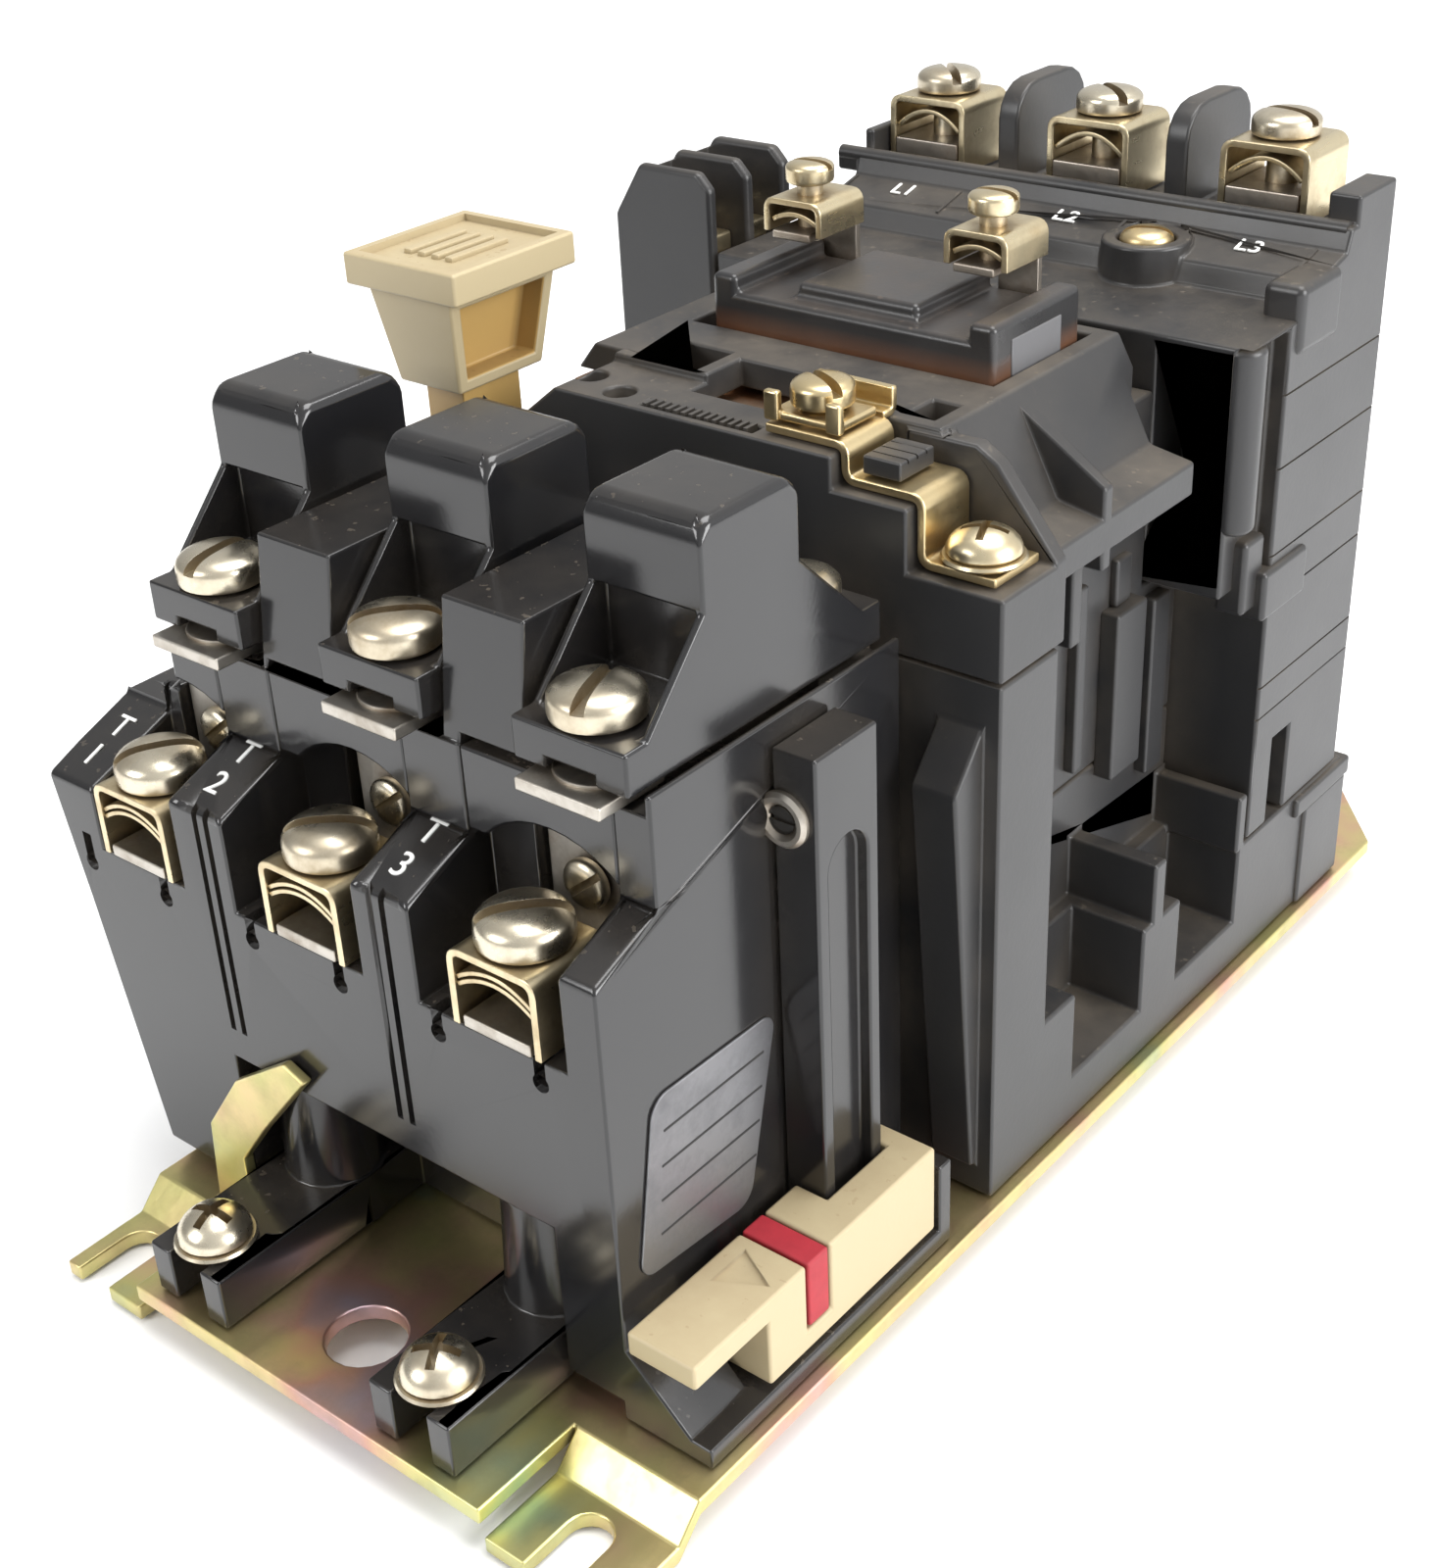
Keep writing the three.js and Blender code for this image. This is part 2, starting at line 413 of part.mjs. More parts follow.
// ---- coil, magnet and moving contacts ----
function coil() {
  const { x0, x1, y0, y1, z0, z1, top, rim } = COIL;
  const bobbin = box(BOBBIN.x0, BOBBIN.x1, BOBBIN.y0, BOBBIN.y1, z0, z1);
  const head = box(x0, x1, y0, y1, z0, top - 2);
  const rims = [box(x0, x0 + rim, y0, y1, top - 3, top), box(x1 - rim, x1, y0, y1, top - 3, top)];
  const pad = box(x0 + 10.3, x1 - 11.4, y0 + 2.4, y1, top - 3, top - 0.2);
  const bore = box(CORE.midX - CORE.half - GAP, CORE.midX + CORE.half + GAP, CORE.y0 - GAP, CORE.y1 + GAP,
    z0 - OVER, z1 + OVER);
  return cut(join(bobbin, head, ...rims, pad), bore);
}

function magnetCore() {
  const { x0, x1, y0, y1, z0, yoke, z1, leg, midX, half } = CORE;
  return alongY([
    [x0, z0], [x0 + leg, z0], [x0 + leg, yoke], [midX - half, yoke], [midX - half, z0], [midX + half, z0],
    [midX + half, yoke], [x1 - leg, yoke], [x1 - leg, z0], [x1, z0], [x1, z1], [x0, z1]], y0, y1);
}

function crossbar() {
  const { x0, x1, y0, y1, z0, z1, postX, postHalf } = CROSSBAR;
  const spine = box(x0 + 4, x1 - 4, y0, CONTACT.y0 + 2, z0, z1 - 1);
  const head = box(x0, x1, CONTACT.y0, y1, z0, z1);
  const window = box(x0 + 12, x1 - 12, CORE.y1 + 12, CONTACT.y0 - 4, z0 - OVER, z1 + OVER);
  const posts = postX.map((x) => box(x - postHalf, x + postHalf, y0, CORE.y1, z0, ARMATURE.z0 - GAP));
  const guides = postX.map((x) => box(x - postHalf, x + postHalf, 47, 53, z0, CONTACT.fixed - 4));
  return cut(join(spine, head, ...posts, ...guides), window);
}

function contactBridge(x) {
  const { half, sheet, bridge, y0, y1, reach, tip } = CONTACT;
  const bar = box(x - half, x + half, y0, y1, bridge, bridge + sheet - 0.4);
  const tips = [y0 + reach / 2, y1 - reach / 2].map((y) => post(x, y, bridge, bridge + sheet, tip, tip, 12));
  return join(bar, ...tips);
}

function loadBar(i) {
  const { half, fixed, sheet, y0, reach } = CONTACT;
  const { padY0, padY1, dropY0, dropY1 } = LOAD_BAR;
  const x = CONTACT_X[i];
  const heaterX = HEATER_X[i];
  const padTop = HEATER.z0 - 0.5;
  const pad = box(heaterX - LOAD_BAR.half, Math.max(heaterX + LOAD_BAR.half, x + half), padY0, padY1,
    padTop - sheet, padTop);
  const bridge = box(x - half, x + half, padY0, dropY1, padTop - sheet, padTop);
  const drop = box(x - half, x + half, dropY0, dropY1, fixed, padTop);
  const run = box(x - half, x + half, dropY0, y0 + reach, fixed, fixed + sheet);
  return join(pad, bridge, drop, run);
}

function lineBar(i) {
  const { half, y0, y1, z0, sheet } = LINE_BAR;
  const x = LINE_X[i];
  const tipX = CONTACT_X[i];
  const dropY = CAVITY.y1 - 1.9;
  const pad = box(x - half, x + half, y0, y1, z0, z0 + sheet);
  const drop = box(x - half, x + half, dropY, dropY + sheet, CONTACT.fixed, z0 + sheet);
  const foot = box(Math.min(x, tipX) - CONTACT.half, Math.max(x, tipX) + CONTACT.half,
    CONTACT.y1 - CONTACT.reach, dropY + sheet, CONTACT.fixed, CONTACT.fixed + sheet);
  return join(pad, drop, foot);
}

// bent strip carrying a coil clamp
function coilTerminal(x) {
  const { y0, y1, z0, z1, sheet, half } = COIL_TERMINAL;
  return alongX([
    [y1, z0], [y1, z1], [y0, z1], [y0, z1 - sheet], [y1 - sheet, z1 - sheet], [y1 - sheet, z0]],
  x - half, x + half);
}

function returnSpring() {
  const { x, y, r, wire, turns, z0, z1, steps } = SPRING;
  const points = Array.from({ length: turns * steps + 1 }, (_, i) => {
    const angle = (2 * Math.PI * i) / steps;
    const z = z0 + ((z1 - z0) * i) / (turns * steps);
    return new THREE.Vector3(x + r * Math.cos(angle), y + r * Math.sin(angle), z);
  });
  const path = new THREE.CatmullRomCurve3(points);
  const circle = new THREE.Shape().absarc(0, 0, wire, 0, 2 * Math.PI);
  const tube = new THREE.ExtrudeGeometry(circle, {
    steps: turns * steps, curveSegments: 3, bevelEnabled: false, extrudePath: path });
  return toSolid(tube);
}

// ---- jumper strap ----
function jumperStrap() {
  const { y0, y1, sheet, x0, x1, backY, backTop, fork } = STRAP;
  const high = LEDGES.bar + GAP;
  const mid = LEDGES.mid + GAP;
  const low = COLUMN.top + GAP;
  const ribbon = alongY([
    [x0, high], [LEDGES.barX + GAP, high], [LEDGES.barX + GAP, mid], [LEDGES.midX + GAP, mid],
    [LEDGES.midX + GAP, low], [x1, low], [x1, low + sheet], [LEDGES.midX + GAP + sheet, low + sheet],
    [LEDGES.midX + 0.9, mid + sheet], [LEDGES.barX + 1.5, mid + sheet], [LEDGES.barX + 0.9, high + sheet],
    [x0, high + sheet]], y0, y1);
  const shelf = box(x0, LEDGES.barX - 1, y1 - 0.5, backY, high + 0.8, high + 0.8 + sheet);
  const back = box(x0, LEDGES.barX - 1, backY - sheet, backY, high + 0.8, backTop);
  const step = box(x0, LEDGES.barX - 1, y1 - 0.5, y1, high, high + 0.8 + sheet);
  const slot = box(STRAP_SCREW.lowX, x1 + OVER, STRAP_SCREW.lowY - fork / 2, STRAP_SCREW.lowY + fork / 2,
    low - OVER, low + sheet + OVER);
  const eye = post(STRAP_SCREW.lowX, STRAP_SCREW.lowY, low - OVER, low + sheet + OVER, fork / 2);
  const hole = post(STRAP_SCREW.x, STRAP_SCREW.y, high - OVER, high + sheet + OVER, SCREW.shank + GAP);
  return cut(join(ribbon, shelf, back, step), slot, eye, hole);
}

// saddle clamp with two upturned ears on its near edge
function strapClamp() {
  const { x, y } = STRAP_SCREW;
  const z = LEDGES.bar + GAP + STRAP.sheet + GAP;
  const saddle = block(x, y, 4.4, 3.3, z, z + 1);
  const ears = [-1, 1].map((side) => block(x + side * 3.9, y - 3.3, 0.9, 0.5, z, z + 3.2));
  return cut(join(saddle, ...ears), post(x, y, z - OVER, z + 2, SCREW.shank + GAP));
}

// ---- overload relay ----
function overloadBase() {
  const { x0, x1, y0, y1, upperX0, upperY0, top, rim } = RELAY;
  const lower = alongX([
    [y0, LEDGE.top], [y0 + 3, SEAT], [y1, SEAT], [y1, RIB.back], [RIB.backY, RIB.back],
    [y0, RIB.front]], x0, x1);
  const taper = alongY([[x0 - OVER, 0], ...RELAY_SIDE, [x0 - OVER, RIB.back + OVER]], y0 - OVER, y1 + OVER);
  const endRib = alongX([
    [y0 - OVER, RIB.endFront], [RIB.backY, RIB.endBack], [RIB.backY, RIB.back + OVER],
    [y0 - OVER, RIB.back + OVER]],
  x0 - OVER, RIB.endX);
  const upper = box(upperX0, x1, upperY0, y1, RIB.back - OVER, top);
  const rims = box(x1 - 0.7, x1, upperY0, y1, top - OVER, rim);
  const ear = box(RELAY_EAR.x0, RELAY_EAR.x1, y1 - OVER, RELAY_EAR.y1, NOTCH.z0 + GAP, RELAY_EAR.top);
  const dividers = DIVIDER_X.map((x) => alongX([
    [DIVIDER.footY0, top - OVER], [DIVIDER.footY1, top - OVER], [DIVIDER.footY1, top + 3],
    [DIVIDER.y1, DIVIDER.top], [DIVIDER.y0, DIVIDER.top]], x - DIVIDER.half, x + DIVIDER.half));
  const ledge = join(
    box(x1 - OVER, LEDGE.x1, y0, LEDGE.y1, SEAT, LEDGE.top),
    box(x1 - OVER, LEDGE.x1, LEDGE.endY + GAP, LEDGE.y1, SEAT, LEDGE.endTop),
    alongY([[x1 - OVER, SEAT], [LEDGE.x1, SEAT], [x1, LEDGE.slopeTop], [x1 - OVER, LEDGE.slopeTop]],
      y0, LEVER.legY - 1));
  const inner = box(RELAY_CAVITY.x0, RELAY_CAVITY.x1, RELAY_CAVITY.y0, RELAY_CAVITY.y1,
    SEAT - OVER, RELAY_CAVITY.top);
  const arch = box(ARCH.x0, ARCH.x1, y0 - OVER, ARCH.y1, SEAT - OVER, ARCH.top);
  const shell = cut(join(cut(lower, taper, endRib), upper, rims, ear, ...dividers, ledge), inner, arch);
  const feet = FOOT_X.map((x) => join(
    box(x - FOOT.half, x + FOOT.half, FOOT.y0, FOOT.rootY, SEAT, FOOT.top),
    post(x, FOOT.bossY, SEAT, FOOT.bossTop, FOOT.boss, FOOT.boss - 1)));
  const notches = FOOT_X.map((x) => join(
    box(x - FOOT.notch, x + FOOT.notch, FOOT.y0 - OVER, FOOT.screwY, SEAT - OVER, FOOT.top + OVER),
    post(x, FOOT.screwY, SEAT - OVER, FOOT.top + OVER, FOOT.notch)));
  const bores = FOOT_X.map((x) => post(x, FOOT.bossY, FOOT.top + 2, FOOT.bossTop + OVER, FOOT.bore));
  const bays = BAY.x.map(([a, b]) => box(a, b, y0 - OVER, BAY.y1, BAY.floor, top + OVER));
  const risers = LOAD_X.map((x, i) => box(
    Math.min(x, HEATER_X[i]) - LOAD.half - GAP, Math.max(x, HEATER_X[i]) + LOAD.half + GAP,
    BAY.y1 - OVER, LOAD.riserY + GAP, BAY.floor, HEATER.z0));
  const well = block(RESET.x, RESET.y, RESET_BODY.stemX + GAP, RESET_BODY.stemY + GAP, 50, top + OVER);
  return cut(join(shell, ...feet), ...notches, ...bores, ...bays, ...risers, well);
}

function heater(x) {
  const { half, y0, y1, z0, lip, shoulder, top, screwY } = HEATER;
  const { web, round } = TOWER;
  const body = alongX([
    [y0, z0], [y1, z0], [y1, lip], [TOWER.slopeY1, lip], [TOWER.y1, shoulder], [TOWER.y1, top - round],
    [TOWER.y1 - round, top], [TOWER.y0 + round, top], [TOWER.y0, top - round], [TOWER.y0, shoulder],
    [TOWER.slopeY0, lip], [y0, lip]], x - half, x + half);
  const near = box(x - half + web, x + half - web, y0 - OVER, TOWER.y0 + 1.6, lip, shoulder);
  const far = box(x - half + web, x + half - web, TOWER.y1 - 1.6, y1 + OVER, lip, shoulder);
  const holes = [screwY, y0 + y1 - screwY].map((y) => post(x, y, z0 - OVER, lip + OVER, SCREW.shank + GAP));
  const relief = [[y0 - OVER, y0 + 3], [y1 - 3, y1 + OVER]].map(([a, b]) =>
    box(x - 3, x + 3, a, b, z0 - OVER, z0 + 1.2));
  return cut(body, near, far, ...holes, ...relief);
}

function loadTerminal(i) {
  const { y, padTop, sheet, half, riserY, padY } = LOAD;
  const x = LOAD_X[i];
  const heaterX = HEATER_X[i];
  const heaterPad = HEATER.z0 - 0.5;
  const riser = [Math.min(x, heaterX) - half, Math.max(x, heaterX) + half];
  const pad = box(x - half, x + half, y - 5.2, riserY, padTop - sheet, padTop);
  const wall = box(...riser, riserY - sheet, riserY, padTop - sheet, heaterPad);
  const top = box(heaterX - half - 0.8, heaterX + half + 0.8, padY, riserY, heaterPad - sheet, heaterPad);
  return join(pad, wall, top);
}

function contactBlock() {
  const { x0, x1, y0, y1, z0, z1, web, slotTop } = BLOCK;
  const body = box(x0, x1, y0, y1, z0, z1);
  const mid = (y0 + y1) / 2;
  const half = (y1 - y0) / 2 - web;
  const round = new THREE.CylinderGeometry(half, half, 3, SIDES)
    .rotateZ(Math.PI / 2).translate(x1, mid, slotTop);
  return cut(body, box(x1 - 1.5, x1 + OVER, mid - half, mid + half, z0 - OVER, slotTop), toSolid(round));
}

function testLever() {
  const { x0, x1, y0, y1, top, under, foot, legY } = LEVER;
  const body = alongX([[y0, under], [legY, under], [legY, foot], [y1, foot], [y1, top], [y0, top]], x0, x1);
  const flagSlot = box(x0 - OVER, x1 + OVER, FLAG.y0 - GAP, FLAG.y1 + GAP, FLAG.deep, top + OVER);
  const clear = box(x0 - OVER, BLOCK.x1 + GAP, BLOCK.y0 - GAP, BLOCK.y1 + GAP, foot - OVER, top + OVER);
  return cut(body, flagSlot, clear);
}

function resetButton() {
  const { x, y, halfX, halfY, top, brim, waist, base, rim } = RESET;
  const { topX, topY, lowX, lowY, stemX, stemY, dish: deep } = RESET_BODY;
  const flange = block(x, y, halfX, halfY, brim, top);
  const dish = block(x, y, halfX - rim, halfY - rim, top - deep, top + OVER);
  const body = frustum(x, y, waist, brim + 0.2, [lowX, lowY], [topX, topY]);
  const stem = block(x, y, stemX, stemY, base, waist + 0.2);
  return join(cut(flange, dish), body, stem);
}

// ---- assembly ----
add('mounting_plate', mountingPlate(), 'plated');
add('contactor_base', contactorBase(), 'phenolic');
add('magnet_cover', magnetCover(), 'phenolic');
add('line_block', lineBlock(), 'phenolic');
add('auxiliary_block', auxiliaryBlock(), 'phenolic');
add('coil', coil(), 'phenolic');
add('magnet_core', magnetCore(), 'iron');
add('armature', box(CORE.x0, CORE.x1, CORE.y0, CORE.y1, ARMATURE.z0, ARMATURE.z1), 'iron');
add('crossbar', crossbar(), 'phenolic');
add('return_spring', returnSpring(), 'iron');
POLES.forEach((_, i) => {
  const n = i + 1;
  add(`contact_bridge_${n}`, contactBridge(CONTACT_X[i]), 'tinned');
  add(`load_bar_${n}`, loadBar(i), 'tinned');
  add(`line_bar_${n}`, lineBar(i), 'tinned');
  add(`line_clamp_${n}`,
    wireClamp(LINE_X[i], LINE_CLAMP.y, LINE_CLAMP.top, LINE.deck + GAP, LINE_CLAMP.halfY), 'plated');
  add(`line_screw_${n}`,
    slottedScrew(LINE_X[i], LINE_CLAMP.y, LINE_CLAMP.top + PLAY, LINE_CLAMP.shank, LINE_CLAMP.head),
    'plated');
  add(`load_terminal_${n}`, loadTerminal(i), 'tinned');
  add(`load_clamp_${n}`, wireClamp(LOAD_X[i], LOAD.y, LOAD.clampTop, BAY.floor + GAP, LOAD.halfY), 'plated');
  add(`load_screw_${n}`,
    slottedScrew(LOAD_X[i], LOAD.y, LOAD.clampTop + PLAY, LOAD.shank, LOAD.head), 'plated');
  add(`heater_${n}`, heater(HEATER_X[i]), 'gloss');
  add(`heater_screw_${n}`,
    slottedScrew(HEATER_X[i], HEATER.screwY, HEATER.lip + GAP, HEATER.shank, HEATER.head), 'plated');
});
COIL_SCREW_X.forEach((x, i) => {
  const side = ['left', 'right'][i];
  add(`coil_terminal_${side}`, coilTerminal(x), 'tinned');
  const { y, top, half, halfY, head, shank } = COIL_CLAMP;
  add(`coil_clamp_${side}`, wireClamp(x, y, top, COIL_TERMINAL.z1 - 1, halfY, half), 'plated');
  add(`coil_screw_${side}`, slottedScrew(x, y, top + PLAY, shank, head), 'plated');
});
add('jumper_strap', jumperStrap(), 'brass');
add('jumper_clamp', strapClamp(), 'brass');
add('strap_stop',
  box(STOP.x0, STOP.x1, STOP.y0, STOP.y1, LEDGES.mid + 2 * GAP + STRAP.sheet, STOP.top), 'phenolic');
add('strap_screw_upper',
  slottedScrew(STRAP_SCREW.x, STRAP_SCREW.y, LEDGES.bar + 2.8 + GAP, 2.2, STRAP_SCREW.head), 'brass');
add('strap_screw_lower',
  panScrew(STRAP_SCREW.lowX, STRAP_SCREW.lowY, COLUMN.top + 2 * GAP + STRAP.sheet, 6, STRAP_SCREW.lowHead),
  'brass');
add('cover_screw',
  slottedScrew(COVER_SCREW.x, COVER_SCREW.y, LINE.deck - COVER_SCREW.drop + GAP, 5, COVER_SCREW.head),
  'brass');
add('overload_base', overloadBase(), 'gloss');
add('foot_screw_left', panScrew(FOOT_X[0], FOOT.screwY, FOOT.top + GAP, 6.4, 4.3), 'plated');
add('foot_screw_right', panScrew(FOOT_X[1], FOOT.screwY, FOOT.top + GAP, 6.4, 4.3), 'plated');
add('overload_contact_block', contactBlock(), 'gloss');
add('test_lever', testLever(), 'cream');
add('trip_flag', box(LEVER.x0, LEVER.x1, FLAG.y0, FLAG.y1, FLAG.deep + GAP, LEVER.top), 'red');
add('reset_button', resetButton(), 'cream');

export default parts;
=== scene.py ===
"""Looks of a magnetic motor starter, built round its packed frame.

Lengths are millimetres until a piece is finished.
"""
import math

import bmesh
import bpy
from bpy.props import FloatProperty, FloatVectorProperty, PointerProperty
from mathutils import Matrix, Vector


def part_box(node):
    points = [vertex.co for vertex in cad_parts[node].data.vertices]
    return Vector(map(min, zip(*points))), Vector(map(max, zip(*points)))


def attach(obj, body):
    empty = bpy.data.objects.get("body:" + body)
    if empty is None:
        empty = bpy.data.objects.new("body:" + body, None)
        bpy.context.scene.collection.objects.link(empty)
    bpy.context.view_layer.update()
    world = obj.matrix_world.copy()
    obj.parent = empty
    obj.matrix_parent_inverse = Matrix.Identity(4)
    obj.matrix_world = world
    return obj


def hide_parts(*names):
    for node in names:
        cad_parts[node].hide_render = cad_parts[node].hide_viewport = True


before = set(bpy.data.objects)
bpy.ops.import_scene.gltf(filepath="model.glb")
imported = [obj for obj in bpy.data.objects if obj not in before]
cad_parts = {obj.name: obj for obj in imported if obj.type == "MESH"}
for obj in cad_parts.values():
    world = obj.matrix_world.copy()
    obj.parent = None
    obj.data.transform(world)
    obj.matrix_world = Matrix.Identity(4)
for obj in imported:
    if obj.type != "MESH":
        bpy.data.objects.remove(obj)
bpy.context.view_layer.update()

bl_info = {
    "name": "Motor Starter Looks",
    "version": (1, 0, 0),
    "blender": (4, 5, 0),
    "location": "View3D > Sidebar > Starter",
    "description": "Builds the housings, terminals, heaters and controls of a magnetic motor starter",
    "category": "Object",
}

MM = 0.001
POLES = (1, 2, 3)
SIDES = ("left", "right")
HOUSING, CARRIER, LEVER, BUTTON = "housing", "contact_carrier", "test_lever", "reset_button"  # the bodies
ROUND = 40  # steps round a turned part
OVER = 1  # how far a cutting tool reaches past the surface
WELD = 0.001  # vertices closer than this are one
CREASE = math.radians(38)  # a sharper edge than this stays sharp
MATERIALS = {}  # filled by the first operator that runs


def corners(node):
    """Lowest and highest corner of a node, in millimetres."""
    low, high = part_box(node)
    return low / MM, high / MM


def middle(node):
    low, high = corners(node)
    return (low + high) / 2


# ---- shapes ----
def block(low, high):
    shape = bmesh.new()
    low, high = Vector(low), Vector(high)
    bmesh.ops.create_cube(shape, size=1)
    bmesh.ops.scale(shape, vec=high - low, verts=shape.verts)
    bmesh.ops.translate(shape, vec=(low + high) / 2, verts=shape.verts)
    return shape


def rod(base, axis, length, radius, tip=None, steps=ROUND):
    """A round bar from base along axis, tapering to the radius tip."""
    shape = bmesh.new()
    turn = Vector((0, 0, 1)).rotation_difference(Vector(axis)).to_matrix().to_4x4()
    place = Matrix.Translation(Vector(base)) @ turn @ Matrix.Translation((0, 0, length / 2))
    bmesh.ops.create_cone(shape, cap_ends=True, segments=steps, radius1=radius,
                          radius2=radius if tip is None else tip, depth=length, matrix=place)
    return shape


def verts_of(geometry):
    return [part for part in geometry if isinstance(part, bmesh.types.BMVert)]


def prism(outline, length, place):
    """A flat outline of (u, v) points, extruded along w and moved by place."""
    shape = bmesh.new()
    face = shape.faces.new([shape.verts.new((u, v, 0)) for u, v in outline])
    pushed = verts_of(bmesh.ops.extrude_face_region(shape, geom=[face])["geom"])
    bmesh.ops.translate(shape, vec=(0, 0, length), verts=pushed)
    bmesh.ops.transform(shape, matrix=place, verts=shape.verts)
    return shape


def lathe(profile):
    """A (radius, z) profile spun round the z axis."""
    shape = bmesh.new()
    verts = [shape.verts.new((r, 0, z)) for r, z in profile]
    edges = [shape.edges.new(pair) for pair in zip(verts, verts[1:])]
    bmesh.ops.spin(shape, geom=verts + edges, cent=(0, 0, 0), axis=(0, 0, 1), angle=math.tau,
                   steps=ROUND, use_merge=True)
    bmesh.ops.remove_doubles(shape, verts=shape.verts, dist=WELD)
    return shape


def rounded(points, radius, steps=5):
    """Turns each inner corner of an open path into an arc."""
    path = [Vector(points[0])]
    for before, corner, after in zip(points, points[1:], points[2:]):
        corner = Vector(corner)
        into, out = (Vector(before) - corner), (Vector(after) - corner)
        reach = min(radius, into.length / 2.01, out.length / 2.01)
        start, end = corner + into.normalized() * reach, corner + out.normalized() * reach
        for i in range(steps + 1):
            t = i / steps
            path.append(start * (1 - t) ** 2 + corner * 2 * t * (1 - t) + end * t ** 2)
    return path + [Vector(points[-1])]


def sheet(path, start, end, across):
    """An open sheet: a path of (y, z) points swept along x, or of (x, z) points along y."""
    shape = bmesh.new()
    at = {"x": lambda p: (start, p[0], p[1]), "y": lambda p: (p[0], start, p[1])}[across]
    verts = [shape.verts.new(at(p)) for p in path]
    edges = [shape.edges.new(pair) for pair in zip(verts, verts[1:])]
    pushed = verts_of(bmesh.ops.extrude_edge_only(shape, edges=edges)["geom"])
    step = {"x": (end - start, 0, 0), "y": (0, end - start, 0)}[across]
    bmesh.ops.translate(shape, vec=step, verts=pushed)
    return shape


def placed(shape, spot, axis=(0, 0, 1), turn=0.0):
    """Turns a shape about z, points its z axis along axis and moves it to spot."""
    aim = Vector((0, 0, 1)).rotation_difference(Vector(axis)).to_matrix().to_4x4()
    spin = Matrix.Rotation(math.radians(turn), 4, "Z")
    bmesh.ops.transform(shape, matrix=Matrix.Translation(Vector(spot)) @ aim @ spin, verts=shape.verts)
    return shape


def joined(*shapes):
    whole = bmesh.new()
    for shape in shapes:
        mesh = bpy.data.meshes.new("joining")
        shape.to_mesh(mesh)
        shape.free()
        whole.from_mesh(mesh)
        bpy.data.meshes.remove(mesh)
    return whole


def round_edges(shape, radius, segments=3, pick=lambda edge: True, angle=30):
    sharp = [e for e in shape.edges if len(e.link_faces) == 2
             and e.calc_face_angle(0) > math.radians(angle) and pick(e)]
    bmesh.ops.bevel(shape, geom=sharp, offset=radius, offset_type="OFFSET", segments=segments, profile=0.5,
                    affect="EDGES", material=-1, clamp_overlap=False, loop_slide=True)
    return shape


def moulding(node, radius, segments=3, first=None):
    """A merged copy of a CAD node with its flat faces whole again and its edges rounded."""
    shape = bmesh.new()
    shape.from_mesh(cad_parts[node].data)
    bmesh.ops.scale(shape, vec=(1 / MM,) * 3, verts=shape.verts)
    bmesh.ops.remove_doubles(shape, verts=shape.verts, dist=2 * WELD)
    bmesh.ops.dissolve_limit(shape, angle_limit=math.radians(1), verts=shape.verts, edges=shape.edges)
    if first:
        first(shape)
    return round_edges(shape, radius, segments) if radius else shape


def scratch(shape):
    mesh = bpy.data.meshes.new("scratch")
    bmesh.ops.recalc_face_normals(shape, faces=shape.faces)
    shape.to_mesh(mesh)
    shape.free()
    made = bpy.data.objects.new("scratch", mesh)
    bpy.context.scene.collection.objects.link(made)
    return made


def discard(made):
    data = made.data
    bpy.data.objects.remove(made)
    (bpy.data.meshes if isinstance(data, bpy.types.Mesh) else bpy.data.curves).remove(data)


def carved(shape, *tools):
    """The shape with the tools cut out of it."""
    body, tool = scratch(shape), scratch(joined(*tools))
    cut = body.modifiers.new("cut", "BOOLEAN")
    cut.operation, cut.solver, cut.object, cut.use_self = "DIFFERENCE", "EXACT", tool, True
    whole = body.evaluated_get(bpy.context.evaluated_depsgraph_get())
    result = bmesh.new()
    result.from_mesh(whole.to_mesh())
    whole.to_mesh_clear()
    discard(body)
    discard(tool)
    bmesh.ops.remove_doubles(result, verts=result.verts, dist=WELD)
    return result


def lettering(text, height, depth=0.08):
    """A terminal mark lying flat round the origin."""
    curve = bpy.data.curves.new("mark", "FONT")
    curve.body, curve.size, curve.extrude = text, height * 1.4, depth
    curve.align_x = curve.align_y = "CENTER"
    made = bpy.data.objects.new("mark", curve)
    bpy.context.scene.collection.objects.link(made)
    whole = made.evaluated_get(bpy.context.evaluated_depsgraph_get())
    shape = bmesh.new()
    shape.from_mesh(whole.to_mesh())
    whole.to_mesh_clear()
    discard(made)
    return shape


def finish(name, shape, coat, body=HOUSING, stands_for=(), thick=0.0, bevel=0.0, flip=True):
    """Turns a shape into a finished piece in metres, riding on a body.

    A coat is one finish or a list of them, and the first gives the slot unless another is named.
    """
    coats = [coat] if isinstance(coat, str) else coat
    if flip:
        bmesh.ops.recalc_face_normals(shape, faces=shape.faces)
    bmesh.ops.scale(shape, vec=(MM,) * 3, verts=shape.verts)
    mesh = bpy.data.meshes.new(name)
    shape.to_mesh(mesh)
    shape.free()
    for coating in coats:
        mesh.materials.append(MATERIALS[coating])
    mesh.shade_smooth()
    mesh.set_sharp_from_angle(angle=CREASE)
    piece = bpy.data.objects.new(name, mesh)
    bpy.context.scene.collection.objects.link(piece)
    if thick:
        wall = piece.modifiers.new("wall", "SOLIDIFY")
        wall.thickness, wall.offset, wall.use_even_offset = thick * MM, 0, True
    if bevel:
        edge = piece.modifiers.new("edge", "BEVEL")
        edge.width, edge.segments, edge.limit_method = bevel * MM, 2, "ANGLE"
        edge.angle_limit = math.radians(45)
    even = piece.modifiers.new("even", "WEIGHTED_NORMAL")
    even.keep_sharp = True
    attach(piece, body)
    if stands_for:
        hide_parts(*stands_for)
    return piece


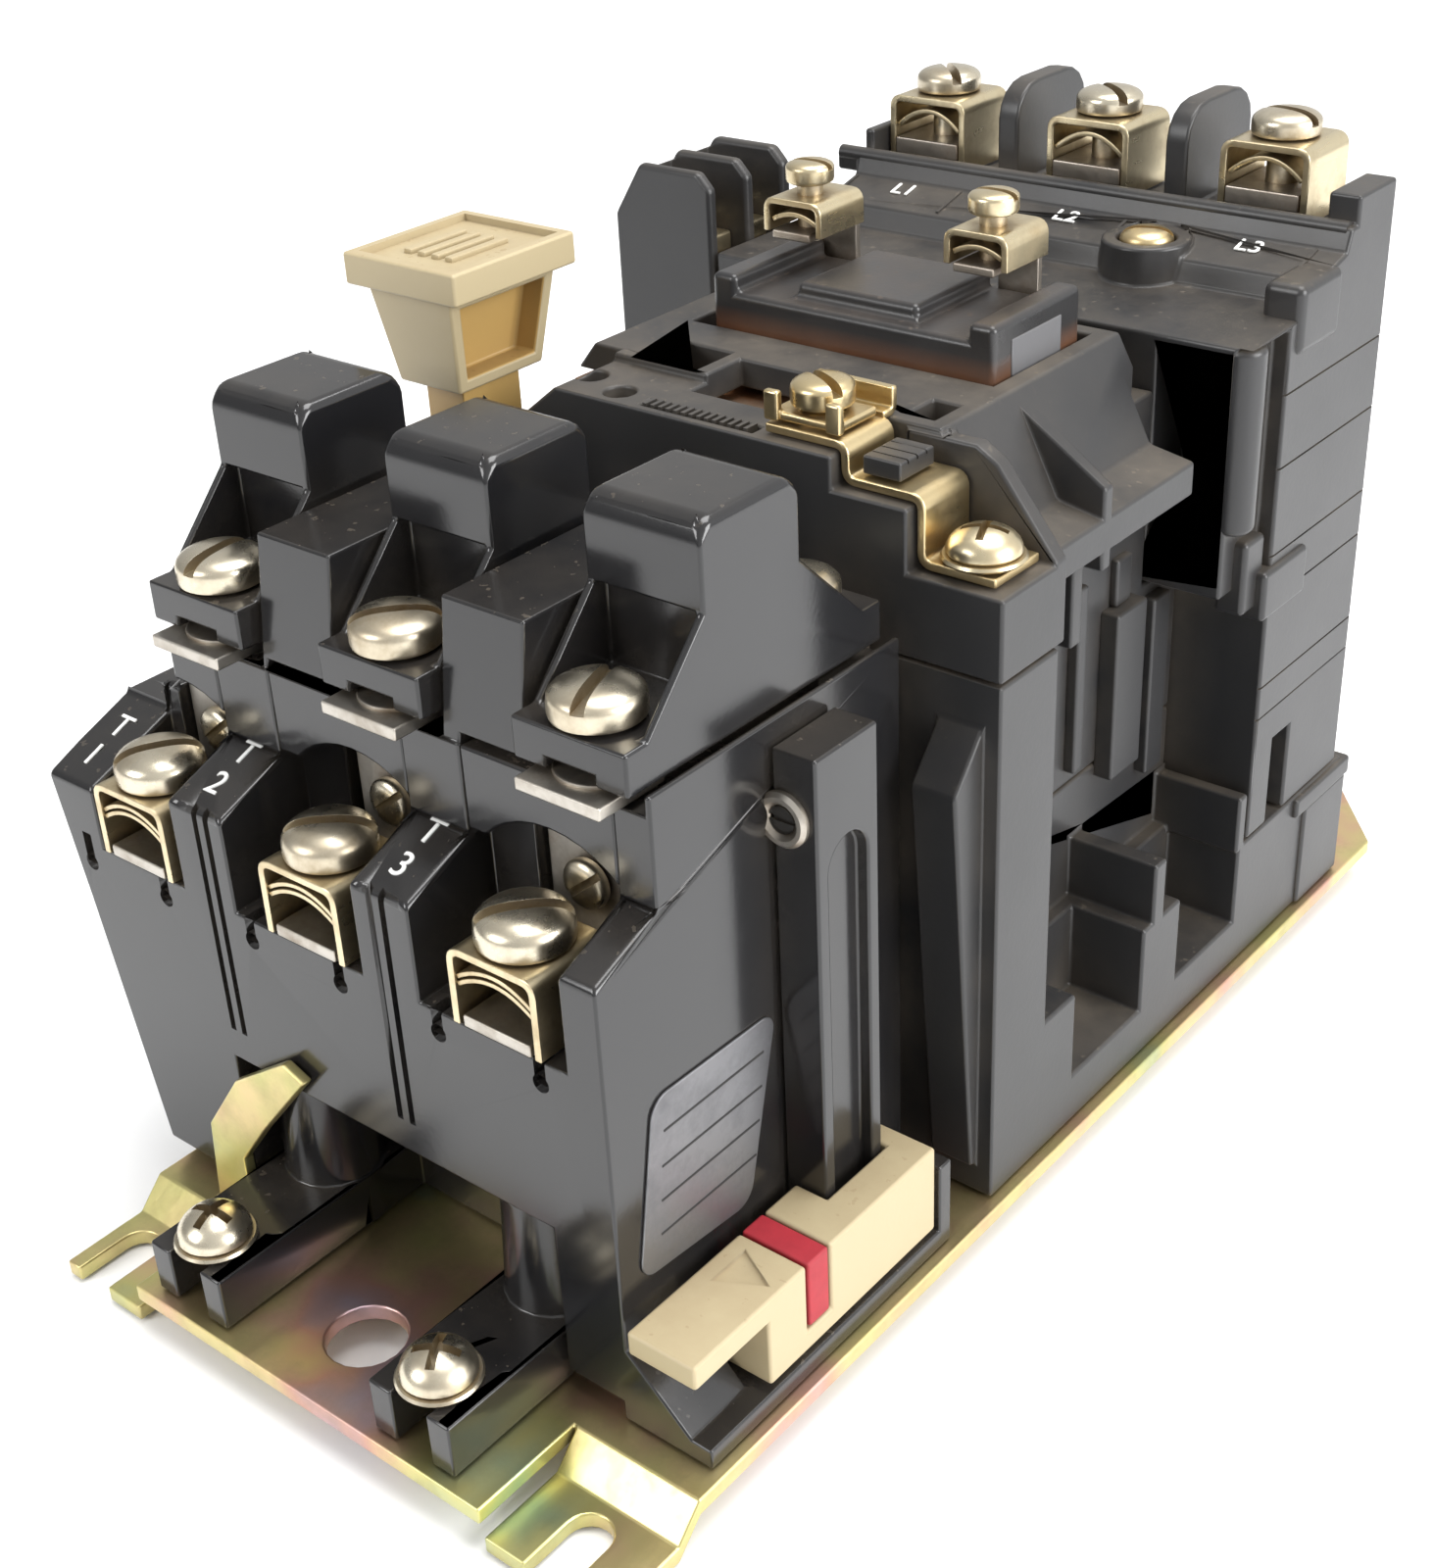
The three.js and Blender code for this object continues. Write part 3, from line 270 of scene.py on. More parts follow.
# ---- materials ----
def group_of(name, inputs, outputs):
    tree = bpy.data.node_groups.new(name, "ShaderNodeTree")
    for label, kind, value in inputs:
        socket = tree.interface.new_socket(label, in_out="INPUT", socket_type=kind)
        socket.default_value = value
    for label, kind in outputs:
        tree.interface.new_socket(label, in_out="OUTPUT", socket_type=kind)
    return tree, tree.nodes.new("NodeGroupInput"), tree.nodes.new("NodeGroupOutput")


def link(tree, source, target):
    tree.links.new(source, target)


def math_node(tree, operation, a, b=None, clamp=False):
    node = tree.nodes.new("ShaderNodeMath")
    node.operation, node.use_clamp = operation, clamp
    for socket, value in zip(node.inputs, (a, b)):
        if isinstance(value, bpy.types.NodeSocket):
            link(tree, value, socket)
        elif value is not None:
            socket.default_value = value
    return node.outputs[0]


def times(tree, a, b, clamp=False):
    return math_node(tree, "MULTIPLY", a, b, clamp)


def plus(tree, a, b, clamp=False):
    return math_node(tree, "ADD", a, b, clamp)


def noise(tree, scale, detail=4.0, rough=0.55, stretch=None):
    coord = tree.nodes.new("ShaderNodeTexCoord")
    source = coord.outputs["Object"]
    if stretch:
        mapping = tree.nodes.new("ShaderNodeMapping")
        mapping.inputs["Scale"].default_value = stretch
        link(tree, source, mapping.inputs["Vector"])
        source = mapping.outputs["Vector"]
    node = tree.nodes.new("ShaderNodeTexNoise")
    link(tree, source, node.inputs["Vector"])
    if isinstance(scale, bpy.types.NodeSocket):
        link(tree, scale, node.inputs["Scale"])
    else:
        node.inputs["Scale"].default_value = scale
    node.inputs["Detail"].default_value = detail
    node.inputs["Roughness"].default_value = rough
    return node.outputs["Fac"]


def ramp(tree, value, *stops):
    node = tree.nodes.new("ShaderNodeValToRGB")
    link(tree, value, node.inputs["Fac"])
    marks = node.color_ramp.elements
    while len(marks) < len(stops):
        marks.new(0.5)
    for mark, (spot, colour) in zip(marks, stops):
        mark.position, mark.color = spot, (*colour, 1)
    return node.outputs["Color"]


def mixed(tree, share, a, b):
    node = tree.nodes.new("ShaderNodeMix")
    node.data_type = "RGBA"
    for socket, value in ((node.inputs[0], share), (node.inputs[6], a), (node.inputs[7], b)):
        if isinstance(value, bpy.types.NodeSocket):
            link(tree, value, socket)
        else:
            socket.default_value = value if isinstance(value, float) else (*value[:3], 1)
    return node.outputs[2]


def crevice(tree, reach):
    """How closed in a point is, from 0 to 1, by faces within reach."""
    shade = tree.nodes.new("ShaderNodeAmbientOcclusion")
    shade.samples = 4
    shade.inputs["Distance"].default_value = reach
    return math_node(tree, "SUBTRACT", 1.0, shade.outputs["AO"])


def dust_group():
    """Dust that lies on upward faces and packs into recesses, with fine grain in the height."""
    tree, inn, out = group_of("settled_dust", [
        ("Color", "NodeSocketColor", (0.02, 0.02, 0.02, 1)),
        ("Dust Color", "NodeSocketColor", (0.2, 0.17, 0.13, 1)),
        ("Top Dust", "NodeSocketFloat", 0.3), ("Corner Dust", "NodeSocketFloat", 0.5),
        ("Scale", "NodeSocketFloat", 60.0), ("Roughness", "NodeSocketFloat", 0.3)],
        [("Color", "NodeSocketColor"), ("Roughness", "NodeSocketFloat"), ("Height", "NodeSocketFloat")])
    geometry = tree.nodes.new("ShaderNodeNewGeometry")
    split = tree.nodes.new("ShaderNodeSeparateXYZ")
    link(tree, geometry.outputs["Normal"], split.inputs[0])
    upward = math_node(tree, "POWER", math_node(tree, "MAXIMUM", split.outputs["Z"], 0.0), 3.0)
    corner = math_node(tree, "POWER", crevice(tree, 0.007), 1.4)
    cloud = noise(tree, inn.outputs["Scale"], 6.0, 0.65)
    patch = times(tree, math_node(tree, "SUBTRACT", cloud, 0.32), 2.4, True)
    speck = math_node(tree, "GREATER_THAN", noise(tree, 900.0, 2.0, 0.5), 0.69)
    top = times(tree, times(tree, upward, patch), inn.outputs["Top Dust"])
    side = times(tree, times(tree, corner, patch), inn.outputs["Corner Dust"])
    flecks = times(tree, times(tree, speck, upward), 0.25)
    mask = plus(tree, plus(tree, top, side), flecks, True)
    link(tree, mixed(tree, mask, inn.outputs["Color"], inn.outputs["Dust Color"]), out.inputs["Color"])
    smear = times(tree, math_node(tree, "SUBTRACT", noise(tree, 35.0, 5.0, 0.6), 0.5), 0.22)
    film = plus(tree, inn.outputs["Roughness"], times(tree, mask, 0.5))
    link(tree, plus(tree, film, smear, True), out.inputs["Roughness"])
    grain = times(tree, noise(tree, 1500.0, 3.0), 0.5)
    link(tree, plus(tree, grain, mask), out.inputs["Height"])


def tarnish_group():
    """Blotchy tarnish and fine scratches on plated metal."""
    tree, inn, out = group_of("tarnish", [
        ("Bright", "NodeSocketColor", (0.8, 0.7, 0.5, 1)), ("Tarnish", "NodeSocketColor", (0.3, 0.2, 0.1, 1)),
        ("Amount", "NodeSocketFloat", 0.5), ("Scale", "NodeSocketFloat", 180.0),
        ("Roughness", "NodeSocketFloat", 0.25)],
        [("Color", "NodeSocketColor"), ("Roughness", "NodeSocketFloat"), ("Height", "NodeSocketFloat")])
    cloud = noise(tree, inn.outputs["Scale"], 6.0, 0.65)
    patch = times(tree, math_node(tree, "SUBTRACT", cloud, 0.45), 3.2, True)
    stain = times(tree, plus(tree, patch, crevice(tree, 0.002)), inn.outputs["Amount"], True)
    link(tree, mixed(tree, stain, inn.outputs["Bright"], inn.outputs["Tarnish"]), out.inputs["Color"])
    streak = noise(tree, 700.0, 2.0, 0.5, (1.0, 0.12, 1.0))
    rough = plus(tree, inn.outputs["Roughness"], times(tree, stain, 0.3))
    link(tree, plus(tree, rough, times(tree, streak, 0.08), True), out.inputs["Roughness"])
    link(tree, plus(tree, streak, times(tree, cloud, 0.6)), out.inputs["Height"])


def bare_material(name):
    made = bpy.data.materials.new(name)
    made.use_nodes = True
    made.node_tree.nodes.clear()
    shader = made.node_tree.nodes.new("ShaderNodeBsdfPrincipled")
    out = made.node_tree.nodes.new("ShaderNodeOutputMaterial")
    link(made.node_tree, shader.outputs[0], out.inputs["Surface"])
    return made, made.node_tree, shader


def bumped(tree, shader, height, strength, distance=0.0002):
    bump = tree.nodes.new("ShaderNodeBump")
    bump.inputs["Strength"].default_value = strength
    bump.inputs["Distance"].default_value = distance
    link(tree, height, bump.inputs["Height"])
    link(tree, bump.outputs["Normal"], shader.inputs["Normal"])


def coated(tree, shader, film, bump):
    """Wires a film's colour, roughness and height to a shader."""
    link(tree, film.outputs["Color"], shader.inputs["Base Color"])
    link(tree, film.outputs["Roughness"], shader.inputs["Roughness"])
    bumped(tree, shader, film.outputs["Height"], bump)


def use_group(tree, name, **values):
    node = tree.nodes.new("ShaderNodeGroup")
    node.node_tree = bpy.data.node_groups[name]
    for label, value in values.items():
        socket = node.inputs[label.replace("_", " ")]
        if isinstance(value, bpy.types.NodeSocket):
            link(tree, value, socket)
        else:
            socket.default_value = value if isinstance(value, float) else (*value[:3], 1)
    return node


def moulded_plastic(name, colour, roughness, top, corner, dust=(0.16, 0.13, 0.095), scale=60.0, gloss=1.5,
                    bump=0.12):
    """Moulded plastic, with dust on its upward faces and in its corners."""
    made, tree, shader = bare_material(name)
    film = use_group(tree, "settled_dust", Color=colour, Dust_Color=dust, Top_Dust=top, Corner_Dust=corner,
                     Scale=scale, Roughness=roughness)
    coated(tree, shader, film, bump)
    shader.inputs["IOR"].default_value = gloss
    return made


def plated_metal(name, bright, tarnish, amount, roughness, scale=180.0):
    """Plated metal with tarnish and fine scratches."""
    made, tree, shader = bare_material(name)
    film = use_group(tree, "tarnish", Bright=bright, Tarnish=tarnish, Amount=amount, Scale=scale,
                     Roughness=roughness)
    coated(tree, shader, film, 0.1)
    shader.inputs["Metallic"].default_value = 1
    return made


def chromate(name, colour):
    """Zinc plate under a yellow chromate that drifts from green through gold to pink."""
    made, tree, shader = bare_material(name)
    drift = noise(tree, 45.0, 3.0, 0.5)
    rainbow = ramp(tree, drift, (0.30, (0.30, 0.42, 0.30)), (0.42, (0.58, 0.54, 0.22)), (0.52, colour),
                   (0.62, (0.64, 0.36, 0.28)), (0.74, (0.42, 0.36, 0.46)))
    film = use_group(tree, "tarnish", Bright=rainbow, Tarnish=(0.22, 0.19, 0.11), Amount=0.45, Scale=120.0,
                     Roughness=0.26)
    coated(tree, shader, film, 0.12)
    shader.inputs["Metallic"].default_value = 0.9
    return made


def stained_coil(name, colour):
    """Black moulding whose lower band is stained rust brown."""
    made, tree, shader = bare_material(name)
    coord = tree.nodes.new("ShaderNodeTexCoord")
    split = tree.nodes.new("ShaderNodeSeparateXYZ")
    link(tree, coord.outputs["Object"], split.inputs[0])
    below = math_node(tree, "SUBTRACT", 0.0944, split.outputs["Z"])
    low = times(tree, below, 420.0, True)
    band = times(tree, low, plus(tree, noise(tree, 120.0, 5.0, 0.6), 0.15), True)
    base = mixed(tree, band, colour, (0.13, 0.05, 0.02))
    film = use_group(tree, "settled_dust", Color=base, Dust_Color=(0.15, 0.11, 0.08), Top_Dust=0.25,
                     Corner_Dust=0.4, Scale=90.0, Roughness=0.28)
    coated(tree, shader, film, 0.14)
    return made


def tinted_clear(name, colour):
    """Red plastic that lets some light through."""
    made, tree, shader = bare_material(name)
    link(tree, mixed(tree, noise(tree, 260.0), colour, (0.30, 0.01, 0.02)), shader.inputs["Base Color"])
    link(tree, math_node(tree, "MULTIPLY_ADD", noise(tree, 500.0), 0.2), shader.inputs["Roughness"])
    shader.inputs["Transmission Weight"].default_value = 0.35
    bumped(tree, shader, noise(tree, 900.0), 0.08)
    return made


def make_materials(looks):
    dust_group()
    tarnish_group()
    black, gloss = tuple(looks.housing_colour), tuple(looks.relay_colour)
    ivory = tuple(looks.ivory_colour)
    return {
        "phenolic": moulded_plastic("phenolic_housing", black, 0.36, looks.dust, 0.75),
        "dusty": moulded_plastic("phenolic_dusty", black, 0.42, looks.dust * 1.6, 0.95, scale=45.0),
        "gloss": moulded_plastic("phenolic_gloss", gloss, 0.17, looks.dust * 0.35, 0.35, gloss=1.58, bump=0.06),
        "coil": stained_coil("coil_moulding", black),
        "chromate": chromate("yellow_chromate", tuple(looks.plate_colour)),
        "gold": plated_metal("gold_chromate", (0.66, 0.57, 0.38), (0.28, 0.19, 0.09), 0.6, 0.24),
        "dark_tin": plated_metal("dull_tin", (0.42, 0.38, 0.33), (0.16, 0.11, 0.07), 0.7, 0.32),
        "screw": plated_metal("screw_plating", (0.66, 0.60, 0.47), (0.24, 0.17, 0.09), 0.75, 0.22, 140.0),
        "brass": plated_metal("yellow_brass", (0.70, 0.57, 0.33), (0.34, 0.23, 0.10), 0.5, 0.24),
        "silver": plated_metal("tinned_copper", (0.50, 0.47, 0.42), (0.20, 0.15, 0.10), 0.7, 0.3),
        "steel": plated_metal("spring_wire", (0.55, 0.55, 0.56), (0.2, 0.18, 0.16), 0.4, 0.25),
        "iron": plated_metal("laminated_iron", (0.34, 0.25, 0.18), (0.24, 0.10, 0.04), 0.8, 0.45),
        "ivory": moulded_plastic("ivory_plastic", ivory, 0.42, 0.35, 0.9, (0.24, 0.165, 0.085), 75.0, 1.48,
                                 0.1),
        "amber": moulded_plastic("amber_plastic", (0.42, 0.27, 0.09), 0.36, 0.2, 0.5, (0.2, 0.13, 0.07), 90.0),
        "red": tinted_clear("red_flag", (0.62, 0.03, 0.05)),
        "paint": moulded_plastic("white_paint", (0.85, 0.85, 0.83), 0.5, 0.1, 0.1, (0.5, 0.48, 0.42), 300.0),
        # dark ink for the nameplate's printed rules, and painted shade in the contact block's eyelet hole
        "void": moulded_plastic("dark_ink_and_hole_shade", (0.008, 0.008, 0.008), 0.7, 0.1, 0.3),
        "plate": plated_metal("label_metal", (0.22, 0.22, 0.23), (0.10, 0.10, 0.105), 0.5, 0.42),
        "paper": moulded_plastic("worn_label", (0.10, 0.10, 0.105), 0.6, 0.3, 0.4, (0.1, 0.08, 0.06), 220.0),
    }


# ---- common hardware ----
def domed_head(radius, height, slot=1.4, depth=1.3, wall=0.45):
    """A slotted screw head standing on the origin, flatter in the middle than at its shoulder."""
    rim = height * wall
    arc = [(radius * math.cos(a) ** 0.7, rim + (height - rim) * math.sin(a) ** 0.85)
           for a in (math.pi / 2 * i / 9 for i in range(1, 9))]
    head = lathe([(0, 0), (radius - 0.45, 0), (radius - 0.1, 0.2), (radius, 0.55), (radius, rim)]
                 + arc + [(0, height)])
    return carved(head, block((-radius - OVER, -slot / 2, height - depth),
                              (radius + OVER, slot / 2, height + OVER)))


def crossed_head(radius, height, arm=0.9, depth=1.5):
    """A round screw head with a cross recess and a split washer under it."""
    arc = [(radius * math.cos(a), 0.9 + (height - 0.9) * math.sin(a))
           for a in (math.pi / 2 * i / 8 for i in range(9))]
    head = lathe([(0, 0.6), (radius - 0.2, 0.6)] + arc)
    reach = radius * 0.62
    arms = [block((-a, -b, height - depth), (a, b, height + OVER))
            for a, b in ((reach, arm / 2), (arm / 2, reach))]
    washer = lathe([(0, 0), (radius + 0.3, 0), (radius + 0.5, 0.25), (radius + 0.3, 0.55), (0, 0.55)])
    return joined(carved(head, *arms), washer)


def screw(name, head, spot, turn, coat="screw", axis=(0, 0, 1), stands_for=(), bevel=0.0):
    """A screw head set on a spot, with its slot turned by some degrees."""
    return finish(name, placed(head, spot, axis, turn), coat, stands_for=stands_for, bevel=bevel)


def bowed_plate(x, y0, y1, half, edge, rise):
    """A springy plate that rises in its middle, as an open sheet."""
    path = [(x + half * t, edge + rise * (1 - t * t)) for t in (i / 6 - 1 for i in range(13))]
    return sheet(path, y0, y1, "y")


def saddle(node, sheet_mm, radius, foot=None):
    """A folded clamp that fills its node's box."""
    low, high = corners(node)
    inset = sheet_mm / 2
    z0 = low.z if foot is None else foot
    path = rounded([(low.x + inset, z0), (low.x + inset, high.z - inset), (high.x - inset, high.z - inset),
                    (high.x - inset, z0)], radius)
    return finish(node + "_folded", sheet(path, low.y, high.y, "y"), "gold", stands_for=[node],
                  thick=sheet_mm, bevel=0.14, flip=False)


def remade(node, name, coat, radius, segments=3, body=HOUSING, first=None):
    """A CAD node's own shape with its edges rounded, in its finish."""
    return finish(name, moulding(node, radius, segments, first), coat, body, [node])


def side_on(x):
    """Stands a (y, z) outline in the plane at x, to be pushed towards +X."""
    return Matrix(((0, 0, 1, x), (1, 0, 0, 0), (0, 1, 0, 0), (0, 0, 0, 1)))


# ---- the pieces ----
def make_plate():
    """The plate, with the joggled feet of its CAD node and worn edges."""
    remade("mounting_plate", "mounting_plate_chromated", "chromate", 0.28, 2)


def make_contactor_base():
    low, high = corners("contactor_base")
    remade("contactor_base", "contactor_base_moulding", "phenolic", 0.45)
    foot, step_top, ledge_top = high.y - 14, 20.8, 23.4
    ledge = block((high.x - 4, foot, step_top - 0.2), (high.x + 0.7, high.y + 1.4, ledge_top))
    step = block((high.x - 4, foot + 3, low.z), (high.x + 0.5, high.y + 0.9, step_top))
    finish("base_foot_ledge", joined(round_edges(ledge, 0.5), round_edges(step, 0.5)), "phenolic")
    hole = (44.6, 16)
    screw("base_side_screw", domed_head(2.1, 1.3, 0.7, 0.6), (high.x - 2.3, *hole), 60, "brass", (1, 0, 0))
    finish("base_side_post", rod((high.x - 6, *hole), (1, 0, 0), 4.2, 3.0), "dusty")
    hook = [block((40.6, 36.6, 55.4), (45.7, 47.6, 61.8)), block((40.6, 33.6, 57), (44.4, 38.4, 66.4))]
    finish("side_hook", joined(*[round_edges(part, 0.7) for part in hook]), "phenolic")
    make_recess_ribs()


def make_recess_ribs():
    """The ribs in the recess over the base's pockets: how far each stands out, its y range and its z range."""
    recess = 32.8
    ribs = [(1.6, (13.4, 15.4), (42, 66)), (2.6, (20.6, 27.4), (38, 60)), (1.2, (22.4, 25.8), (60, 66)),
            (2.2, (-6.4, 1.4), (63, 65.4)), (6.4, (3.4, 5.6), (64, 73.6)), (1.8, (30.6, 34.6), (34, 58))]
    shapes = [round_edges(block((recess, y0, z0), (recess + rise, y1, z1)), 0.4)
              for rise, (y0, y1), (z0, z1) in ribs]
    finish("side_recess_ribs", joined(*shapes), "dusty")


def make_magnet_cover():
    remade("magnet_cover", "magnet_cover_moulding", "dusty", 0.42)
    pitch, first, tooth, count = 1.05, -1.2, 0.5, 14
    teeth = [block((first + pitch * i, -18.4, 86), (first + pitch * i + tooth, -16.6, 91.2))
             for i in range(count)]
    finish("cover_comb", joined(*teeth), "phenolic")


def make_line_block():
    low, high = corners("line_block")
    seams = [block((high.x - 0.35, 39, z - 0.13), (high.x + OVER, high.y - 10, z + 0.13))
             for z in (41, 45.4, 57, 63, 74, 83)]
    body = carved(moulding("line_block", 0.45), *seams)
    finish("line_block_moulding", body, "phenolic", stands_for=["line_block"])
    pillar = rod((42.4, 33.2, 68), (0, 0, 1), 22.4, 2.6)
    finish("line_block_pillar", round_edges(pillar, 0.9), "phenolic")
    cap = block((40.4, 40.4, 87), (45.6, 50.6, 95.2))
    finish("line_block_end_cap", round_edges(cap, 1.1), "phenolic")
    make_line_marks()
    rail = rod((low.x + 3.4, 53.7, 98.2), (1, 0, 0), high.x - low.x - 4.2, 0.95, steps=20)
    finish("line_block_rail", rail, "phenolic")


def make_line_marks():
    """L1 to L3 on the sloping strip, each between two low ridges."""
    centres, ridges = (-15.1, 9.1, 33.8), (-8.8, 7.4)
    slope = Vector((0, -1.6, 6.5)).normalized()
    for n, x in zip(POLES, centres):
        mark = placed(lettering(f"L{n}", 2.5), (x, 49.9, 95.66), slope)
        finish(f"line_mark_{n}", mark, "paint", flip=False)
    y0, z0, y1, z1, rise = 46.2, 94.3, 51.6, 95.6, 0.55
    outline = [(y0, z0), (y1, z1), (y1, z1 + rise), (y0, z0 + rise)]
    frames = [prism(outline, 0.4, side_on(x + ridge)) for x in centres for ridge in ridges]
    finish("line_mark_frames", joined(*frames), "phenolic")


def make_auxiliary_block():
    low, high = corners("auxiliary_block")
    remade("auxiliary_block", "auxiliary_block_moulding", "phenolic", 0.7)
    x = (low.x + high.x) / 2 + 1.6
    for n, y in enumerate((34.7, 42.3), 1):
        screw(f"auxiliary_screw_{n}", domed_head(2.5, 2.2, 0.8, 0.9), (x, y, high.z - 9), 30, "brass")
        clamp = block((x - 4, y - 2.7, high.z - 11.6), (x + 4, y + 2.7, high.z - 9.1))
        finish(f"auxiliary_clamp_{n}", round_edges(clamp, 0.4), "gold")


def make_magnet():
    remade("coil", "coil_moulding", "coil", 0.8, 4)
    label = block((28.1, 7.6, 90.6), (28.35, 17.4, 95.8))
    finish("coil_label", round_edges(label, 0.1, 1), "paper")
    for node, coat, radius, body in (
            ("magnet_core", "iron", 0.25, HOUSING), ("armature", "iron", 0.25, CARRIER),
            ("crossbar", "phenolic", 0.3, CARRIER), ("return_spring", "steel", 0, HOUSING)):
        remade(node, node + "_finished", coat, radius, 2, body)
    for n in POLES:
        remade(f"contact_bridge_{n}", f"contact_bridge_{n}_finished", "silver", 0.15, 2, CARRIER)
        for bar in (f"load_bar_{n}", f"line_bar_{n}"):
            remade(bar, bar + "_finished", "silver", 0.2, 2)


def make_line_terminals():
    for n, turn in zip(POLES, (-42, -36, -11)):
        clamp = f"line_clamp_{n}"
        low, high = corners(clamp)
        spot, top = middle(clamp), corners(f"line_screw_{n}")[1].z
        saddle(clamp, 0.9, 1.3)
        wire = bowed_plate(spot.x, low.y + 0.4, high.y - 0.4, 4.7, 101.4, 2.2)
        finish(f"line_wire_plate_{n}", wire, "gold", thick=0.6, bevel=0.1, flip=False)
        bar = block((spot.x - 4.8, low.y - 0.2, 97.9), (spot.x + 4.8, high.y + 0.2, 100))
        finish(f"line_wire_bar_{n}", round_edges(bar, 0.25, 2), "dark_tin")
        screw(f"line_screw_{n}_head", domed_head(4.15, 3.0, 1.2, 1.6, 0.5), (spot.x, spot.y, top - 3.0), turn,
              stands_for=[f"line_screw_{n}"], bevel=0.12)
        finish(f"line_screw_{n}_shank", rod((spot.x, spot.y, 99.8), (0, 0, 1), 4.6, 2.0), "screw")
    spot, top = middle("cover_screw"), corners("cover_screw")[1].z
    screw("cover_screw_head", domed_head(3.2, 2.8, 0.9, 1.0), (spot.x, spot.y, top - 3.0), 20, "brass",
          stands_for=["cover_screw"])


def make_coil_terminals():
    head = corners(f"line_screw_{POLES[0]}")[1].z - 0.1
    for side, turn in zip(SIDES, (5, 2)):
        clamp, terminal = f"coil_clamp_{side}", f"coil_terminal_{side}"
        low, high = corners(clamp)
        spot = middle(clamp)
        saddle(clamp, 0.8, 1.2, high.z - 4)
        wire = bowed_plate(spot.x, low.y + 0.4, high.y - 0.4, 3.1, 101.9, 0.9)
        finish(f"coil_wire_plate_{side}", wire, "gold", thick=0.6, bevel=0.1, flip=False)
        remade(terminal, terminal + "_bent", "dark_tin", 0.2, 2)
        x, y = spot.x, spot.y - 0.6
        screw(f"coil_screw_{side}_head", domed_head(2.8, 2.5, 0.9, 1.0, 0.65), (x, y, head - 2.5), turn, "gold",
              stands_for=[f"coil_screw_{side}"], bevel=0.1)
        finish(f"coil_screw_{side}_shank", rod((x, y, 99.4), (0, 0, 1), head - 101.7, 1.5), "screw")


def make_jumper():
    low, high = corners("jumper_strap")
    tops = (91.8, 88.2, 81.3)
    bends = (24.4 + 0.8, 33.6 + 0.8)
    path = rounded([(low.x, tops[0]), (bends[0], tops[0]), (bends[0], tops[1]), (bends[1], tops[1]),
                    (bends[1], tops[2]), (high.x, tops[2])], 1.3)
    finish("jumper_strap_folded", sheet(path, -18.2, -10.2, "y"), "brass", stands_for=["jumper_strap"],
           thick=1.0, bevel=0.2, flip=False)
    back = rounded([(-10.6, 92.4), (-8.6, 92.4), (-8.6, high.z)], 0.9)
    finish("jumper_strap_stop", sheet(back, low.x - 0.4, 24.6, "x"), "brass", thick=0.9, bevel=0.2, flip=False)
    remade("jumper_clamp", "jumper_clamp_finished", "brass", 0.3, 2)
    upper, lower = middle("strap_screw_upper"), middle("strap_screw_lower")
    top, base = corners("strap_screw_upper")[1].z, 82.1
    screw("strap_screw_upper_head", domed_head(3.35, 2.9, 1.1, 1.4, 0.6), (upper.x, upper.y, top - 3), -26,
          "brass", stands_for=["strap_screw_upper"], bevel=0.1)
    screw("strap_screw_lower_head", crossed_head(3.9, 3.4, 0.8), (lower.x, lower.y, base), 20, "gold",
          stands_for=["strap_screw_lower"])
    low, high = corners("strap_stop")
    cuts = [block((low.x - OVER, y - 0.12, high.z - 0.5), (high.x + OVER, y + 0.12, high.z + OVER))
            for y in (-16, -14.4, -12.8)]
    finish("strap_stop_finished", carved(moulding("strap_stop", 0.25, 2), *cuts), "phenolic",
           stands_for=["strap_stop"])


def make_overload_base():
    low, high = corners("overload_base")
    front, ribs = -69.5, (-20.4, 5.9)
    keys, key_z = (-42.2, -29.2, -15, -1.4, 12.7, 26.4), 45.2
    grooves = [block((x + s - 0.42, front - OVER, 31), (x + s + 0.42, front + 0.9, 60))
               for x in ribs for s in (-0.9, 0.9)]
    slots = [tool for x in keys if x - 1.2 > low.x + 1 for tool in (
        block((x - 0.75, front - OVER, key_z), (x + 0.75, front + 2.4, 49)),
        rod((x, front - OVER, key_z), (0, 1, 0), 3.4, 1.05, steps=24))]
    shoulder = block((low.x - OVER, -57.4, 60), (-39.5, high.y + OVER, 65))

    def on_rib_top(edge):
        return all(v.co.y < -57 and 52 < v.co.z < 64 and v.co.x < high.x - 1 for v in edge.verts)
    body = moulding("overload_base", 0.3, 3, lambda shape: round_edges(shape, 0.7, 4, on_rib_top))
    finish("overload_base_moulding", carved(body, shoulder, *grooves, *slots), "gloss",
           stands_for=["overload_base"])
    make_bays()
    make_load_marks()
    make_nameplate()
    for side in SIDES:
        x = middle(f"foot_screw_{side}").x
        screw(f"pillar_screw_{side}", domed_head(3.4, 2.2, 1.0, 1.0), (x, -63.5, 18), 35)


def make_bays():
    """The arched back wall of each load terminal's bay, and the screw in it."""
    spans = ((-33.4, -25.8), (-17.1, 2.2), (10.4, 29.9))
    for n, (x0, x1) in zip(POLES, spans):
        x = middle(f"load_clamp_{n}").x
        wall = block((x0, -60.4, 63.4), (x1, -57.7, 72.6))
        arch = rod((x, -62, 54.6), (0, 1, 0), 6, 12.4)
        finish(f"bay_arch_{n}", carved(wall, arch), "gloss", bevel=0.3)
        screw(f"bay_screw_{n}", domed_head(2.7, 1.8, 0.8, 0.8), (x + 1.2, -56.6, 59.9), 40, axis=(0, -1, 0))


